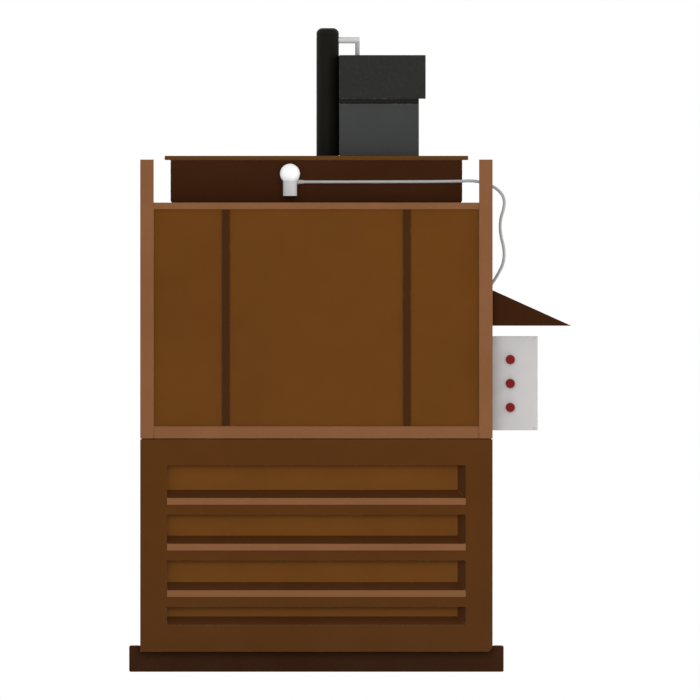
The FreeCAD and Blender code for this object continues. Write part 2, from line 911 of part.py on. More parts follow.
def build_pressure_pipe():
    """Riser from the pump, turned by an elbow into the side of the cylinder."""
    height = cylinder_top - size("elbow_drop")
    pump_top = motor_z + half_pump
    riser = rod_along("z", size("pipe_radius"), height - pump_top, pump_x, ram_y, pump_top)
    end = pump_x + size("pipe_radius")
    elbow = rod_along("x", size("elbow_radius"), end - ram_x, ram_x, ram_y, height)
    seat = rod_along("z", cylinder_radius, size("elbow_radius") * 2 + 4, ram_x, ram_y,
                     height - size("elbow_radius") - 2)
    sub_part(cut(fuse([riser, elbow]), [seat]), "pressure_pipe")


build_head()
build_cylinder()
build_ram()
build_platen()
build_tank()
build_motor()
build_motor_cover()
build_pressure_pipe()


# Planes of the gate, the bale door and its hinges.
gate_gap = size("gate_gap")
gate_front = front_face + rail_sheet + gate_gap
gate_back = base_front - rail_sheet - gate_gap
gate_sheet = size("gate_sheet")
gate_side = half_body - rail_sheet - 3 * gate_gap
panel_low = sill_top + size("gate_bottom_rail")
panel_high = chamber_top - size("gate_top_rail")
panel_front = gate_front + size("gate_recess")
door_top = sill_top - size("door_gap")
door_bottom = size("door_bottom")
door_sheet = size("door_sheet")
skin_front = front_face + size("door_bar")
skin_back = skin_front + door_sheet
plate_back = base_front - size("door_seal_gap")
plate_front = plate_back - size("door_plate")
door_inner = half_body - door_sheet
hinge_x = size("hinge_inset") - half_body
knuckle = size("knuckle_radius")
hinge_y = skin_back + knuckle + size("hinge_skin_gap")
half_knuckle = size("knuckle_length") / 2
pin_radius = size("hinge_pin_radius")
block_edge = hinge_x + knuckle + size("hinge_block_margin")
door_knuckle = size("door_knuckle_length")
window_x = (size("window_inset") - half_body, half_body - size("window_inset"))
recess_depth = plate_front - skin_back - size("pan_sheet") - size("pan_back_gap")
HINGE_COUNT = 3
lowest_hinge = door_bottom + size("hinge_margin")
hinge_pitch = (door_top - size("hinge_margin") - lowest_hinge) / (HINGE_COUNT - 1)
WINDOWS = ("one", "two", "three", "four")


def stacked_windows():
    """Low and high ends of the recessed windows, from the door's top down."""
    heights = {}
    top = door_top - size("window_margin")
    for name in WINDOWS:
        low = top - size(f"window_{name}_height")
        heights[name] = (low, top)
        top = low - size("window_band")
    return heights


WINDOW_HEIGHTS = stacked_windows()


def build_gate():
    """Feed gate: a tube frame that runs in the rails, its panel and two stiffeners."""
    y = (gate_front, gate_back)
    stile_low = sill_top + size("rail_stop") + size("slide_gap")
    x = (-wall_inner, wall_inner)
    pieces = [
        tube_beam("z", mirrored(side, wall_inner, gate_side), y, (stile_low, chamber_top),
                  gate_sheet)
        for side in (-1, 1)
    ]
    pieces.append(tube_beam("x", x, y, (sill_top, panel_low), gate_sheet))
    pieces.append(tube_beam("x", x, y, (panel_high, chamber_top), gate_sheet))
    sub_part(fuse(pieces), "gate_frame")
    sub_part(block(x, (panel_front, panel_front + gate_sheet), (panel_low, panel_high)),
             "gate_panel")
    half_rib = size("gate_rib_width") / 2
    ribs = []
    for side in (-1, 1):
        middle = side * size("gate_rib_place")
        ribs.append(block((middle - half_rib, middle + half_rib),
                          (gate_front + gate_sheet, panel_front), (panel_low, panel_high)))
    sub_part(fuse(ribs), "gate_ribs")


def build_door_skin():
    """Folded front of the bale door, with four windows, a cut corner and hinge notches."""
    corner = size("door_corner")
    depth = plate_front - skin_back
    outer = [
        (-half_body, door_bottom), (half_body - corner, door_bottom),
        (half_body, door_bottom + corner), (half_body, door_top), (-half_body, door_top),
    ]
    inner = [
        (-door_inner, door_bottom + door_sheet), (door_inner - corner, door_bottom + door_sheet),
        (door_inner, door_bottom + door_sheet + corner), (door_inner, door_top - door_sheet),
        (-door_inner, door_top - door_sheet),
    ]
    skin = new_body("door_skin", 0, plate_front, 0)
    pad(skin, "XZ", [outer, inner], depth)
    windows = [rectangle(window_x, ends) for ends in WINDOW_HEIGHTS.values()]
    pad(skin, "XZ", [outer] + windows, door_sheet, depth)
    doc.recompute()
    reach = half_knuckle + size("hinge_notch_gap")
    notch = rectangle((-half_body - 1, 1 - door_inner),
                      (lowest_hinge - reach, lowest_hinge + reach))
    gap = pocket(skin, "XZ", [notch], depth)
    gap.Reversed = True
    doc.recompute()
    repeat(skin, gap, "Z", hinge_pitch, HINGE_COUNT)


def window_wedge(name, margin, depth):
    """The space behind one window, whose right and lower walls slope at 45 degrees."""
    low, high = WINDOW_HEIGHTS[name]
    item = doc.addObject("Part::Wedge", "WindowSpace")
    ends = {
        "Xmin": window_x[0] - margin, "X2min": window_x[0] - margin,
        "Xmax": window_x[1] + margin, "X2max": window_x[1] + margin - depth,
        "Zmin": low - margin, "Z2min": low - margin + depth,
        "Zmax": high + margin, "Z2max": high + margin,
        "Ymin": skin_back, "Ymax": skin_back + depth,
    }
    for path, value in ends.items():
        bind(item, path, value)
    return item


def build_door_fill():
    """Recess pans behind the windows and the flat bars under the first three."""
    pan_sheet = size("pan_sheet")
    pans = [
        cut(window_wedge(name, pan_sheet, recess_depth + pan_sheet),
            [window_wedge(name, 0, recess_depth)])
        for name in WINDOWS
    ]
    sub_part(fuse(pans), "door_pans")
    bars = []
    for name in WINDOWS[:3]:
        low = WINDOW_HEIGHTS[name][0]
        bars.append(block(window_x, (front_face, skin_front),
                          (low - size("door_bar_height"), low)))
    sub_part(fuse(bars), "door_bars")


def hinge_heights():
    """Middle heights of the bale door's hinges."""
    return [lowest_hinge + index * hinge_pitch for index in range(HINGE_COUNT)]


def build_door_frame():
    """Inner plate, the tubes between the pans and the door's halves of the lift-off hinges."""
    plate_x = (1 - door_inner, door_inner - door_sheet)
    height = (door_bottom + door_sheet + size("door_corner"), door_top - door_sheet)
    pieces = [block(plate_x, (plate_front, plate_back), height)]
    half_beam = size("door_beam_height") / 2
    for upper, lower in zip(WINDOWS[:3], WINDOWS[1:]):
        middle = (WINDOW_HEIGHTS[upper][0] + WINDOW_HEIGHTS[lower][1]) / 2
        pieces.append(tube_beam("x", (block_edge, plate_x[1]), (skin_back, plate_front),
                                (middle - half_beam, middle + half_beam), door_sheet))
    clear = half_knuckle + size("hinge_seat_gap")
    notch = half_knuckle + size("hinge_notch_gap")
    holes = []
    for height in hinge_heights():
        start = height + clear
        pieces.append(rod_along("z", knuckle, door_knuckle, hinge_x, hinge_y, start))
        pieces.append(block((hinge_x, block_edge), (hinge_y, plate_front),
                            (start, start + door_knuckle)))
        holes.append(rod_along("z", pin_radius + size("running_gap"), door_knuckle + 2,
                               hinge_x, hinge_y, start - 1))
        holes.append(block((-half_body, block_edge), (plate_front - 1, plate_back + 1),
                           (height - notch, height + notch)))
    sub_part(cut(fuse(pieces), holes), "door_frame")


def build_hinges():
    """The fixed halves of the hinges, welded to the left post, and the pins on their tops."""
    brackets = []
    pins = []
    half_leaf = size("hinge_leaf") / 2
    for height in hinge_heights():
        low = height - half_knuckle
        high = height + half_knuckle
        barrel = rod_along("z", knuckle, high - low, hinge_x, hinge_y, low)
        leaf = block((hinge_x - half_leaf, hinge_x + half_leaf), (hinge_y, base_front),
                     (low, high))
        brackets.append(fuse([barrel, leaf]))
        pins.append(rod_along("z", pin_radius, door_knuckle, hinge_x, hinge_y, high))
    sub_part(fuse(brackets), "hinge_brackets")
    sub_part(fuse(pins), "hinge_pins")


build_gate()
build_door_skin()
build_door_fill()
build_door_frame()
build_hinges()


# Planes of the lamp, the cable and the controls on the right-hand side.
lamp_x = -size("lamp_place")
lamp_y = head_front - size("lamp_reach")
lamp_z = chamber_top + size("lamp_rise")
globe = size("globe_radius")
globe_base = lamp_z - globe * math.sin(math.radians(45))
socket_bottom = chamber_top + size("socket_rise")
socket_radius = size("socket_radius")
mount_front = head_front - size("mount_block")
cable_radius = size("cable_radius")
cable_y = head_front - cable_radius - size("cable_gap")
cable_z = chamber_top + size("cable_rise")
wall_outer = wall_inner + size("wall_plate")
box_left = wall_outer + size("box_standoff")
box_right = box_left + size("box_width")
box_bottom = sill_top + size("box_above_sill")
box_top = box_bottom + size("box_height")
box_front = base_front + size("box_setback")
box_back = box_front + size("box_depth")
box_sheet = size("box_sheet")
cover_front = box_front - size("cover_sheet")
gland_x = box_left + size("gland_radius") + size("gland_margin")
gland_top = box_top + size("gland_height")
hood_bottom = box_top + size("hood_above_box")
button_x = box_left + size("button_inset")
button_first = box_top - size("button_drop")
button_pitch = (button_first - box_bottom - size("button_foot")) / 2
stem_radius = size("stem_radius")
bezel_front = cover_front - size("bezel_height")
button_back = bezel_front - size("button_travel") - size("stem_gap")
stem_end = box_front + size("stem_reach")
contact_front = stem_end + size("button_travel") + size("stem_gap")
BUTTON_NAMES = ("top", "middle", "bottom")
GLOBE_ANGLES = (-45, -22, 0, 22, 45, 66, 82)
GLOBE_SIDES = 32
CABLE_SIDES = 8


def build_lamp():
    """Signal lamp: a round globe on a socket that is mounted on the head's front."""
    half_arm = size("lamp_arm_width") / 2
    post = rod_along("z", socket_radius, globe_base - socket_bottom, lamp_x, lamp_y,
                     socket_bottom)
    arm = block((lamp_x - half_arm, lamp_x + half_arm), (lamp_y, mount_front),
                (socket_bottom, socket_bottom + size("lamp_arm_height")))
    mount = block((lamp_x - socket_radius, lamp_x + socket_radius), (mount_front, head_front),
                  (socket_bottom, cable_z + cable_radius + 1))
    sub_part(fuse([post, arm, mount]), "lamp_socket")
    lens = doc.addObject("Part::Feature", "Globe")
    lens.Shape = faceted_globe(globe.number)
    place(lens, lamp_x, lamp_y, lamp_z)
    sub_part(lens, "lamp_globe")


def faceted_globe(radius):
    """A globe of flat facets about its centre, cut off level at its lowest ring."""
    rings = []
    for angle in GLOBE_ANGLES:
        latitude = math.radians(angle)
        corners = []
        for side in range(GLOBE_SIDES):
            turn = math.tau * (side + 0.5) / GLOBE_SIDES
            corners.append(radius * FreeCAD.Vector(
                math.cos(latitude) * math.cos(turn),
                math.cos(latitude) * math.sin(turn),
                math.sin(latitude),
            ))
        rings.append(corners + corners[:1])
    outlines = [rings[0], rings[-1]]
    for lower, upper in zip(rings, rings[1:]):
        for side in range(GLOBE_SIDES):
            outlines.append([lower[side], lower[side + 1], upper[side + 1], upper[side],
                             lower[side]])
    faces = [Part.Face(Part.makePolygon(outline)) for outline in outlines]
    solid = Part.Solid(Part.Shell(faces))
    if solid.Volume < 0:
        solid.reverse()
    return solid


def cable_route():
    """Corners of the cable's route in its own plane, as (X, Z), from lamp to gland."""
    beside = half_body.number
    high = cable_z.number
    low = gland_top.number
    last = gland_x.number
    return [
        (lamp_x.number + socket_radius.number, high),
        (beside - 165, high),
        (beside - 65, high + 7),
        (beside + 17, high - 22),
        (beside + 56, high - 75),
        (beside + 22, high - 175),
        (beside + 56, high - 301),
        (beside + 11, high - 391),
        (last - 5, low + 146),
        (last, low + 68),
        (last, low),
    ]


def rounded_path(corners):
    """Straight runs joined by arcs as large as the shorter run beside each corner allows."""
    edges = []
    radii = []
    start = corners[0]
    for before, corner, after in zip(corners, corners[1:], corners[2:]):
        arrive = (corner - before).normalize()
        leave = (after - corner).normalize()
        half_turn = arrive.getAngle(leave) / 2
        reach = 0.45 * min(before.distanceToPoint(corner), corner.distanceToPoint(after))
        radii.append(reach / math.tan(half_turn))
        first = corner - arrive * reach
        last = corner + leave * reach
        bisector = (leave - arrive).normalize()
        middle = corner + bisector * radii[-1] * (1 / math.cos(half_turn) - 1)
        edges.append(Part.LineSegment(start, first).toShape())
        edges.append(Part.Arc(first, middle, last).toShape())
        start = last
    edges.append(Part.LineSegment(start, corners[-1]).toShape())
    return Part.Wire(edges), radii


def build_cable():
    """Round cable from the lamp along the head, past the right rail and down to the box."""
    radius = cable_radius.number
    corners = [FreeCAD.Vector(x, 0, z) for x, z in cable_route()]
    path, radii = rounded_path(corners)
    section = []
    for side in range(CABLE_SIDES + 1):
        turn = math.tau * (side + 0.5) / CABLE_SIDES
        section.append(corners[0] + FreeCAD.Vector(0, math.cos(turn), math.sin(turn)) * radius)
    tube = path.makePipeShell([Part.makePolygon(section)], True, True)
    wedge = math.sin(math.tau / CABLE_SIDES) * radius ** 2 / 2
    expected = CABLE_SIDES * wedge * path.Length
    if abs(tube.Volume / expected - 1) > 0.01:
        raise RuntimeError(f"cable volume {tube.Volume:.0f} should be {expected:.0f}")
    print("cable radii", [round(value) for value in radii])
    item = doc.addObject("Part::Feature", "LampCable")
    item.Shape = tube
    place(item, 0, cable_y, 0)
    sub_part(item, "lamp_cable")


def build_hood():
    """Folded rain hood with closed cheeks, open below, on the post's outer side."""
    depth = size("hood_depth")
    reach = size("hood_reach")
    rise = size("hood_rise")
    thin = size("hood_sheet")
    drop = thin * 1.1
    hood_back = base_front + size("hood_setback") + depth
    hood = new_body("control_hood", post_outer, hood_back, hood_bottom)
    pad(hood, "XZ", [[(0, 0), (reach, 0), (0, rise)]], depth)
    doc.recompute()
    inside = [
        (thin, -1), (reach * (1 - (drop - 1) / rise), -1),
        (thin, rise * (1 - thin / reach) - drop),
    ]
    pocket(hood, "XZ", [inside], depth - 2 * thin, depth - thin)


def button_heights():
    """Heights of the three buttons, from the top one down."""
    return [button_first - index * button_pitch for index in range(len(BUTTON_NAMES))]


def build_control_box():
    """Box on the side wall with its gland, cover, screws, bezels and contact blocks."""
    x = (box_left, box_right)
    z = (box_bottom, box_top)
    y = (box_front, box_back)
    pieces = [block(x, y, z)]
    inset = size("box_mount_inset")
    mount_height = size("box_mount_height")
    for start in (box_bottom + size("box_mount_low"),
                  box_top - size("box_mount_low") - mount_height):
        pieces.append(block((wall_outer, box_left), (box_front + inset, box_back - inset),
                            (start, start + mount_height)))
    pieces.append(rod_along("z", size("gland_radius"), size("gland_height"), gland_x,
                            cable_y, box_top))
    inside = block((x[0] + box_sheet, x[1] - box_sheet), (y[0] - 1, y[1] - box_sheet),
                   (z[0] + box_sheet, z[1] - box_sheet))
    sub_part(cut(fuse(pieces), [inside]), "control_box")

    holes = [hex_along_y(stem_radius + size("stem_hole_gap"), button_x,
                         (cover_front - 1, box_front + 1), height)
             for height in button_heights()]
    sub_part(cut(block(x, (cover_front, box_front), z), holes), "control_cover")
    inset = size("cover_screw_inset")
    screw_height = size("cover_screw_height")
    screws = [
        hex_along_y(size("cover_screw"), screw_x, (cover_front - screw_height, cover_front),
                    screw_z)
        for screw_x in (x[0] + inset, x[1] - inset)
        for screw_z in (z[0] + inset, z[1] - inset)
    ]
    sub_part(fuse(screws), "cover_screws")
    bezels = []
    contacts = []
    half_contact = size("contact_size") / 2
    contact_back = contact_front + size("contact_size")
    for height in button_heights():
        collar = hex_along_y(size("bezel_radius"), button_x, (bezel_front, cover_front), height)
        bore = rod_along("y", stem_radius + size("running_gap"), size("bezel_height") + 2,
                         button_x, bezel_front - 1, height)
        bezels.append(cut(collar, [bore]))
        contacts.append(block((button_x - half_contact, button_x + half_contact),
                              (contact_front, contact_back),
                              (height - half_contact, height + half_contact)))
    sub_part(fuse(bezels), "button_bezels")
    half_rail = size("contact_rail") / 2
    rail_low = button_heights()[-1] - half_contact - half_rail
    rail_high = button_first + half_contact + half_rail
    rail = block((button_x - half_rail, button_x + half_rail),
                 (contact_back, box_back - box_sheet), (rail_low, rail_high))
    sub_part(fuse(contacts + [rail]), "contact_blocks")


def build_buttons():
    """Turned push buttons whose stems slide in the bezels."""
    radius = size("button_radius")
    head = size("button_head")
    stem = stem_end - button_back
    for name, height in zip(BUTTON_NAMES, button_heights()):
        profile = [
            (0, -stem), (stem_radius, -stem), (stem_radius, 0), (radius, 0),
            (radius, head), (0, head),
        ]
        button = revolve(f"button_{name}", profile, 0, 0, 0)
        turn = FreeCAD.Rotation(FreeCAD.Vector(1, 0, 0), 90)
        button.Placement = FreeCAD.Placement(FreeCAD.Vector(), turn)
        place(button, button_x, button_back, height)


build_lamp()
build_cable()
build_hood()
build_control_box()
build_buttons()


def check_and_export():
    """Check every object, then write one file for each sub-part."""
    doc.recompute()
    for item in doc.Objects:
        broken = {"Invalid", "Error"} & set(item.State)
        if broken:
            raise RuntimeError(f"{item.Name} ({item.Label}) is {sorted(broken)}")
    os.makedirs("parts", exist_ok=True)
    for item in nodes:
        shape = item.Shape
        if shape.isNull() or not shape.isValid():
            raise RuntimeError(f"{item.Label} has no valid shape")
        shape.exportStep(f"parts/{item.Label}.step")
    print(f"{len(nodes)} sub-parts written")


check_and_export()
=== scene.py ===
"""Looks of a recycling baler on its fixed CAD frame, in metres, front facing -Y."""

import logging
import math
from collections.abc import Iterator, Mapping, Sequence
from dataclasses import dataclass
from enum import Enum
from functools import cached_property
from typing import Any

import bmesh
import bpy
from mathutils import Matrix, Vector


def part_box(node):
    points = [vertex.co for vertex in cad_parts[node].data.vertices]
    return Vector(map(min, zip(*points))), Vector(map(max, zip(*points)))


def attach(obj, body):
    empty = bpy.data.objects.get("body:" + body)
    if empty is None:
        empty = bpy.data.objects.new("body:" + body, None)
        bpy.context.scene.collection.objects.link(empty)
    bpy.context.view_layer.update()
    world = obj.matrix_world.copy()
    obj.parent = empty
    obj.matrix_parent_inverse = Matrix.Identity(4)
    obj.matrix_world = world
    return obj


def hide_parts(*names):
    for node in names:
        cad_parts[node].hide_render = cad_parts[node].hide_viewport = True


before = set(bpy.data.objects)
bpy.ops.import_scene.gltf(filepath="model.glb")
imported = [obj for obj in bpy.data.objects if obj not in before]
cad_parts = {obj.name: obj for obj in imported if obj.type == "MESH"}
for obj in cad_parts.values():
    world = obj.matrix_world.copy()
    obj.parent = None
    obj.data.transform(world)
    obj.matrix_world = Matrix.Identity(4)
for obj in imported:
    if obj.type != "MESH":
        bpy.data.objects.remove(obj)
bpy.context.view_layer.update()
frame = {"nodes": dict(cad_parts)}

log = logging.getLogger("baler")

Point = tuple[float, float, float]
Profile = list[tuple[float, float]]
Rgb = tuple[int, int, int]
Linear = tuple[float, float, float, float]
Mesh = bmesh.types.BMesh
Socket = bpy.types.NodeSocket
WHITE: Linear = (1.0, 1.0, 1.0, 1.0)


class Axis(Enum):
    """The three directions of the machine's frame."""

    X = (1.0, 0.0, 0.0)
    Y = (0.0, 1.0, 0.0)
    Z = (0.0, 0.0, 1.0)


@dataclass(frozen=True)
class Extent:
    """The space that CAD nodes take up at rest, between two corners."""

    low: Vector
    high: Vector

    @property
    def middle(self) -> Vector:
        """The point halfway between the corners."""
        return (self.low + self.high) / 2


def extent(*nodes: str) -> Extent:
    """Measure some CAD nodes together.

    Args:
        nodes: The nodes' names.

    Returns:
        The space that they take up.
    """
    lows, highs = zip(*(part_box(node) for node in nodes))
    low = Vector([min(corner[axis] for corner in lows) for axis in range(3)])
    return Extent(low, Vector([max(corner[axis] for corner in highs) for axis in range(3)]))


def linear(colour: Rgb, factor: float = 1.0) -> Linear:
    """Turn an 8-bit screen colour into the renderer's linear one.

    Args:
        colour: Red, green and blue from 0 to 255.
        factor: How much darker or brighter the result is.

    Returns:
        The linear colour with an alpha of 1.
    """
    parts = []
    for channel in colour:
        level = channel / 255
        parts.append(level / 12.92 if level <= 0.04045 else ((level + 0.055) / 1.055) ** 2.4)
    return (parts[0] * factor, parts[1] * factor, parts[2] * factor, 1.0)


class Shade:
    """The nodes of a material or world under construction, with short ways to add and join them."""

    def __init__(self, owner: bpy.types.Material | bpy.types.World) -> None:
        """Start with no nodes.

        Args:
            owner: The material or world that the nodes are for.
        """
        owner.use_nodes = True
        self.owner = owner
        self.tree = owner.node_tree
        self.tree.nodes.clear()

    def add(self, kind: str, values: Mapping[Any, Any] | None = None,
            **settings: Any) -> bpy.types.Node:
        """Add one node.

        Args:
            kind: The node's type, without the first word that all types share.
            values: What goes into its sockets, a number, a colour or another socket.
            settings: The node's own properties.

        Returns:
            The new node.
        """
        node = self.tree.nodes.new(f"ShaderNode{kind}")
        for name, value in settings.items():
            setattr(node, name, value)
        for key, value in (values or {}).items():
            if isinstance(value, Socket):
                self.tree.links.new(value, node.inputs[key])
            else:
                node.inputs[key].default_value = value
        return node

    @cached_property
    def place(self) -> Socket:
        """The object's own coordinates in metres."""
        return self.add("TexCoord").outputs["Object"]

    @cached_property
    def flat(self) -> Socket:
        """The surface's direction before any relief."""
        return self.add("NewGeometry").outputs["Normal"]

    def stretched(self, scale: Point) -> Socket:
        """The object's coordinates, scaled along each axis."""
        return self.add("Mapping", {"Vector": self.place, "Scale": scale}).outputs[0]

    def noise(self, size: float, detail: float = 3.0, rough: float = 0.55,
              at: Socket | None = None) -> Socket:
        """Cloudy noise from 0 to 1 whose patches have a real size in metres."""
        values = {"Vector": at or self.place, "Scale": 1 / size, "Detail": detail, "Roughness": rough}
        return self.add("TexNoise", values).outputs[0]

    def span(self, value: Socket, low: float, high: float, start: float = 0.0,
             end: float = 1.0) -> Socket:
        """The range of a value from low to high, stretched to go from start to end."""
        values = {"Value": value, "From Min": low, "From Max": high, "To Min": start, "To Max": end}
        return self.add("MapRange", values, clamp=True).outputs[0]

    def math(self, operation: str, first: Any, second: Any = 0.0) -> Socket:
        """One step of arithmetic between two values."""
        return self.add("Math", {0: first, 1: second}, operation=operation).outputs[0]

    def times(self, first: Any, second: Any) -> Socket:
        """The product of two values."""
        return self.math("MULTIPLY", first, second)

    def mix(self, amount: Any, first: Any, second: Any) -> Socket:
        """A blend from the first colour to the second."""
        return self.add("Mix", {0: amount, 6: first, 7: second}, data_type="RGBA").outputs[2]

    def bump(self, height: Socket, depth: float, strength: float = 1.0,
             under: Socket | None = None) -> Socket:
        """Relief of a real depth that only bends the light, and may lie on another one."""
        values = {"Height": height, "Distance": depth, "Strength": strength}
        return self.add("Bump", values | ({"Normal": under} if under else {})).outputs[0]

    def edges(self, reach: float) -> Socket:
        """A mask of the shape's outer and inner edges.

        Args:
            reach: How far it goes from them, in metres.

        Returns:
            The mask, bright at the edges.
        """
        worn = self.add("Bevel", {"Radius": reach}, samples=4).outputs[0]
        both = self.add("VectorMath", {0: worn, 1: self.flat}, operation="DOT_PRODUCT")
        return self.span(both.outputs["Value"], 0.985, 0.88)

    def upward(self) -> Socket:
        """A mask that is bright where the surface faces up."""
        return self.span(self.add("SeparateXYZ", {0: self.flat}).outputs[2], 0.6, 0.95)

    def low_down(self, height: float) -> Socket:
        """A mask that is bright at the floor and fades out at a height in metres."""
        return self.span(self.add("SeparateXYZ", {0: self.place}).outputs[2], height, 0.0)

    def finish(self, values: Mapping[str, Any]) -> bpy.types.Material:
        """Close the material with its surface shader.

        Args:
            values: What goes into the sockets of the surface shader.

        Returns:
            The finished material.
        """
        surface = self.add("BsdfPrincipled", values)
        self.add("OutputMaterial", {"Surface": surface.outputs[0]})
        return self.owner


@dataclass(frozen=True)
class Paint:
    """Sprayed paint on steel: slight mottle, orange peel, dust, grime and chipped edges."""

    slot: str
    colour: Rgb
    chip: Rgb = (120, 104, 88)
    chips: float = 0.7
    dust: float = 0.07
    mottle: float = 0.03
    roughness: float = 0.5
    gloss: float = 0.1
    grime: float = 0.22
    hammer: float = 0.0
    flutes: float = 0.0
    dust_colour: Rgb = (176, 166, 150)
    grime_colour: Rgb = (70, 58, 46)
    # Near-black of the painted shade in the grooves of fluted sheet.
    groove_shade_colour: Linear = (0.003, 0.003, 0.003, 1.0)
    grime_height: float = 0.5
    cloud_size: float = 0.32
    run_width: float = 0.05
    dimple_size: float = 0.012
    fall_size: float = 0.07
    grit_size: float = 0.011
    chip_reach: float = 0.0055
    peel_size: float = 0.0035
    peel_depth: float = 0.00006
    wave_depth: float = 0.0012
    matt_size: float = 0.11

    def make(self, shade: Shade) -> bpy.types.Material:
        """Build the paint's nodes.

        Args:
            shade: The empty material.

        Returns:
            The finished one.
        """
        cloud = shade.noise(self.cloud_size, 4.0, 0.6)
        coat = self.pattern(shade, self.sprayed(shade, cloud))
        low = shade.times(shade.low_down(self.grime_height), shade.span(cloud, 0.35, 0.75, 0.2, 1.0))
        coat = shade.mix(shade.times(low, self.grime), coat, linear(self.grime_colour))
        fall = shade.span(shade.noise(self.fall_size, 5.0, 0.7), 0.3, 0.75, 0.55, 1.0)
        lying = shade.times(shade.times(shade.upward(), fall), self.dust)
        coat = shade.mix(lying, coat, linear(self.dust_colour))
        grit = shade.span(shade.noise(self.grit_size, 6.0, 0.8), 0.52, 0.6)
        chipped = shade.times(shade.times(shade.edges(self.chip_reach), grit), self.chips)
        peel = shade.bump(shade.noise(self.peel_size, 1.0, 0.4), self.peel_depth, 0.5)
        matt = shade.span(shade.noise(self.matt_size, 4.0, 0.65), 0.3, 0.7,
                          self.roughness - 0.07, self.roughness + 0.08)
        return shade.finish({
            "Base Color": shade.mix(chipped, coat, linear(self.chip)),
            "Roughness": shade.math("ADD", matt, shade.times(lying, 0.5)),
            "Specular IOR Level": self.gloss,
            "Normal": shade.bump(cloud, self.wave_depth, 0.25, peel),
        })

    def sprayed(self, shade: Shade, cloud: Socket) -> Socket:
        """Mix the paint's colour with its mottle and faint runs.

        Args:
            shade: The material.
            cloud: The noise that the mottle follows.

        Returns:
            The mixed colour.
        """
        deep = linear(self.colour, 1 - 2.2 * self.mottle)
        bright = linear(self.colour, 1 + 2.2 * self.mottle)
        coat = shade.mix(shade.span(cloud, 0.3, 0.7), deep, bright)
        streak = shade.noise(self.run_width, 3.0, 0.6, shade.stretched((1.0, 1.0, 0.09)))
        return shade.mix(shade.span(streak, 0.56, 0.82, 0.0, 0.14), coat, deep)

    def pattern(self, shade: Shade, coat: Socket) -> Socket:
        """Add the dimples of hammer paint or the painted shade of a fluted sheet's grooves, where it
        has them.

        Args:
            shade: The material.
            coat: The colour below them.

        Returns:
            The colour with them.
        """
        if self.hammer > 0:
            dimple = shade.noise(self.dimple_size, 1.0, 0.4)
            coat = shade.mix(shade.span(dimple, 0.52, 0.66, 0.0, self.hammer), coat, linear(self.chip))
        # Stripes across X: painted shade where the flutes' grooves lie, on a flat surface.
        if self.flutes > 0:
            across = shade.add("SeparateXYZ", {0: shade.place}).outputs[0]
            wave = shade.math("SINE", shade.times(across, math.tau / self.flutes))
            coat = shade.mix(shade.span(wave, -0.2, 0.5, 0.0, 0.45), coat, self.groove_shade_colour)
        return coat


@dataclass(frozen=True)
class Steel:
    """Bare or plated steel: drawn or turned lines, scratches and a thin film of dirt."""

    slot: str
    colour: Rgb
    roughness: float = 0.38
    lines: Point = (1.0, 1.0, 1.0)
    scratches: float = 0.4
    stain: float = 0.35
    stain_colour: Rgb = (88, 70, 54)
    scratch_colour: Rgb = (206, 204, 198)
    line_size: float = 0.0016
    line_depth: float = 0.00005
    film_size: float = 0.12
    scratch_size: float = 0.02

    def make(self, shade: Shade) -> bpy.types.Material:
        """Build the steel's nodes.

        Args:
            shade: The empty material.

        Returns:
            The finished one.
        """
        drawn = shade.noise(self.line_size, 3.0, 0.6, shade.stretched(self.lines))
        film = shade.span(shade.noise(self.film_size, 5.0, 0.65), 0.45, 0.72, 0.0, self.stain)
        rub = shade.span(shade.noise(self.scratch_size, 6.0, 0.8), 0.56, 0.66, 0.0, self.scratches)
        skin = shade.mix(shade.span(drawn, 0.3, 0.7), linear(self.colour, 0.72), linear(self.colour))
        skin = shade.mix(rub, skin, linear(self.scratch_colour))
        matt = shade.span(drawn, 0.25, 0.75, self.roughness - 0.08, self.roughness + 0.1)
        return shade.finish({
            "Base Color": shade.mix(film, skin, linear(self.stain_colour)),
            "Metallic": shade.span(film, 0.0, 1.0, 1.0, 0.25),
            "Roughness": shade.math("ADD", matt, shade.times(film, 0.45)),
            "Normal": shade.bump(drawn, self.line_depth, 0.5),
        })


@dataclass(frozen=True)
class Plastic:
    """Moulded plastic or rubber: fine moulded grain, rubbed edges and finger marks."""

    slot: str
    colour: Rgb
    roughness: float = 0.42
    gloss: float = 0.3
    grain: float = 0.0011
    grain_depth: float = 0.00004
    mottle: float = 0.04
    rubbed: float = 0.2
    glow: float = 0.0
    cloud_size: float = 0.035
    rub_reach: float = 0.0012
    rub_size: float = 0.006
    smear_size: float = 0.018

    def make(self, shade: Shade) -> bpy.types.Material:
        """Build the plastic's nodes.

        Args:
            shade: The empty material.

        Returns:
            The finished one.
        """
        base = linear(self.colour)
        pale = tuple(min(1.0, channel * 1.25 + 0.02) for channel in base)
        cloud = shade.noise(self.cloud_size, 4.0, 0.6)
        body = shade.mix(shade.span(cloud, 0.35, 0.7), base, linear(self.colour, 1 - 2 * self.mottle))
        grease = shade.span(shade.noise(self.rub_size, 4.0), 0.4, 0.6)
        rub = shade.times(shade.edges(self.rub_reach), grease)
        smear = shade.noise(self.smear_size, 4.0, 0.7)
        grain = shade.noise(self.grain, 2.0, 0.6)
        return shade.finish({
            "Base Color": shade.mix(shade.times(rub, self.rubbed), body, pale),
            "Roughness": shade.span(smear, 0.35, 0.7, self.roughness - 0.08, self.roughness + 0.1),
            "Specular IOR Level": self.gloss,
            "Normal": shade.bump(grain, self.grain_depth, 0.6),
            "Emission Color": base,
            "Emission Strength": self.glow,
        })


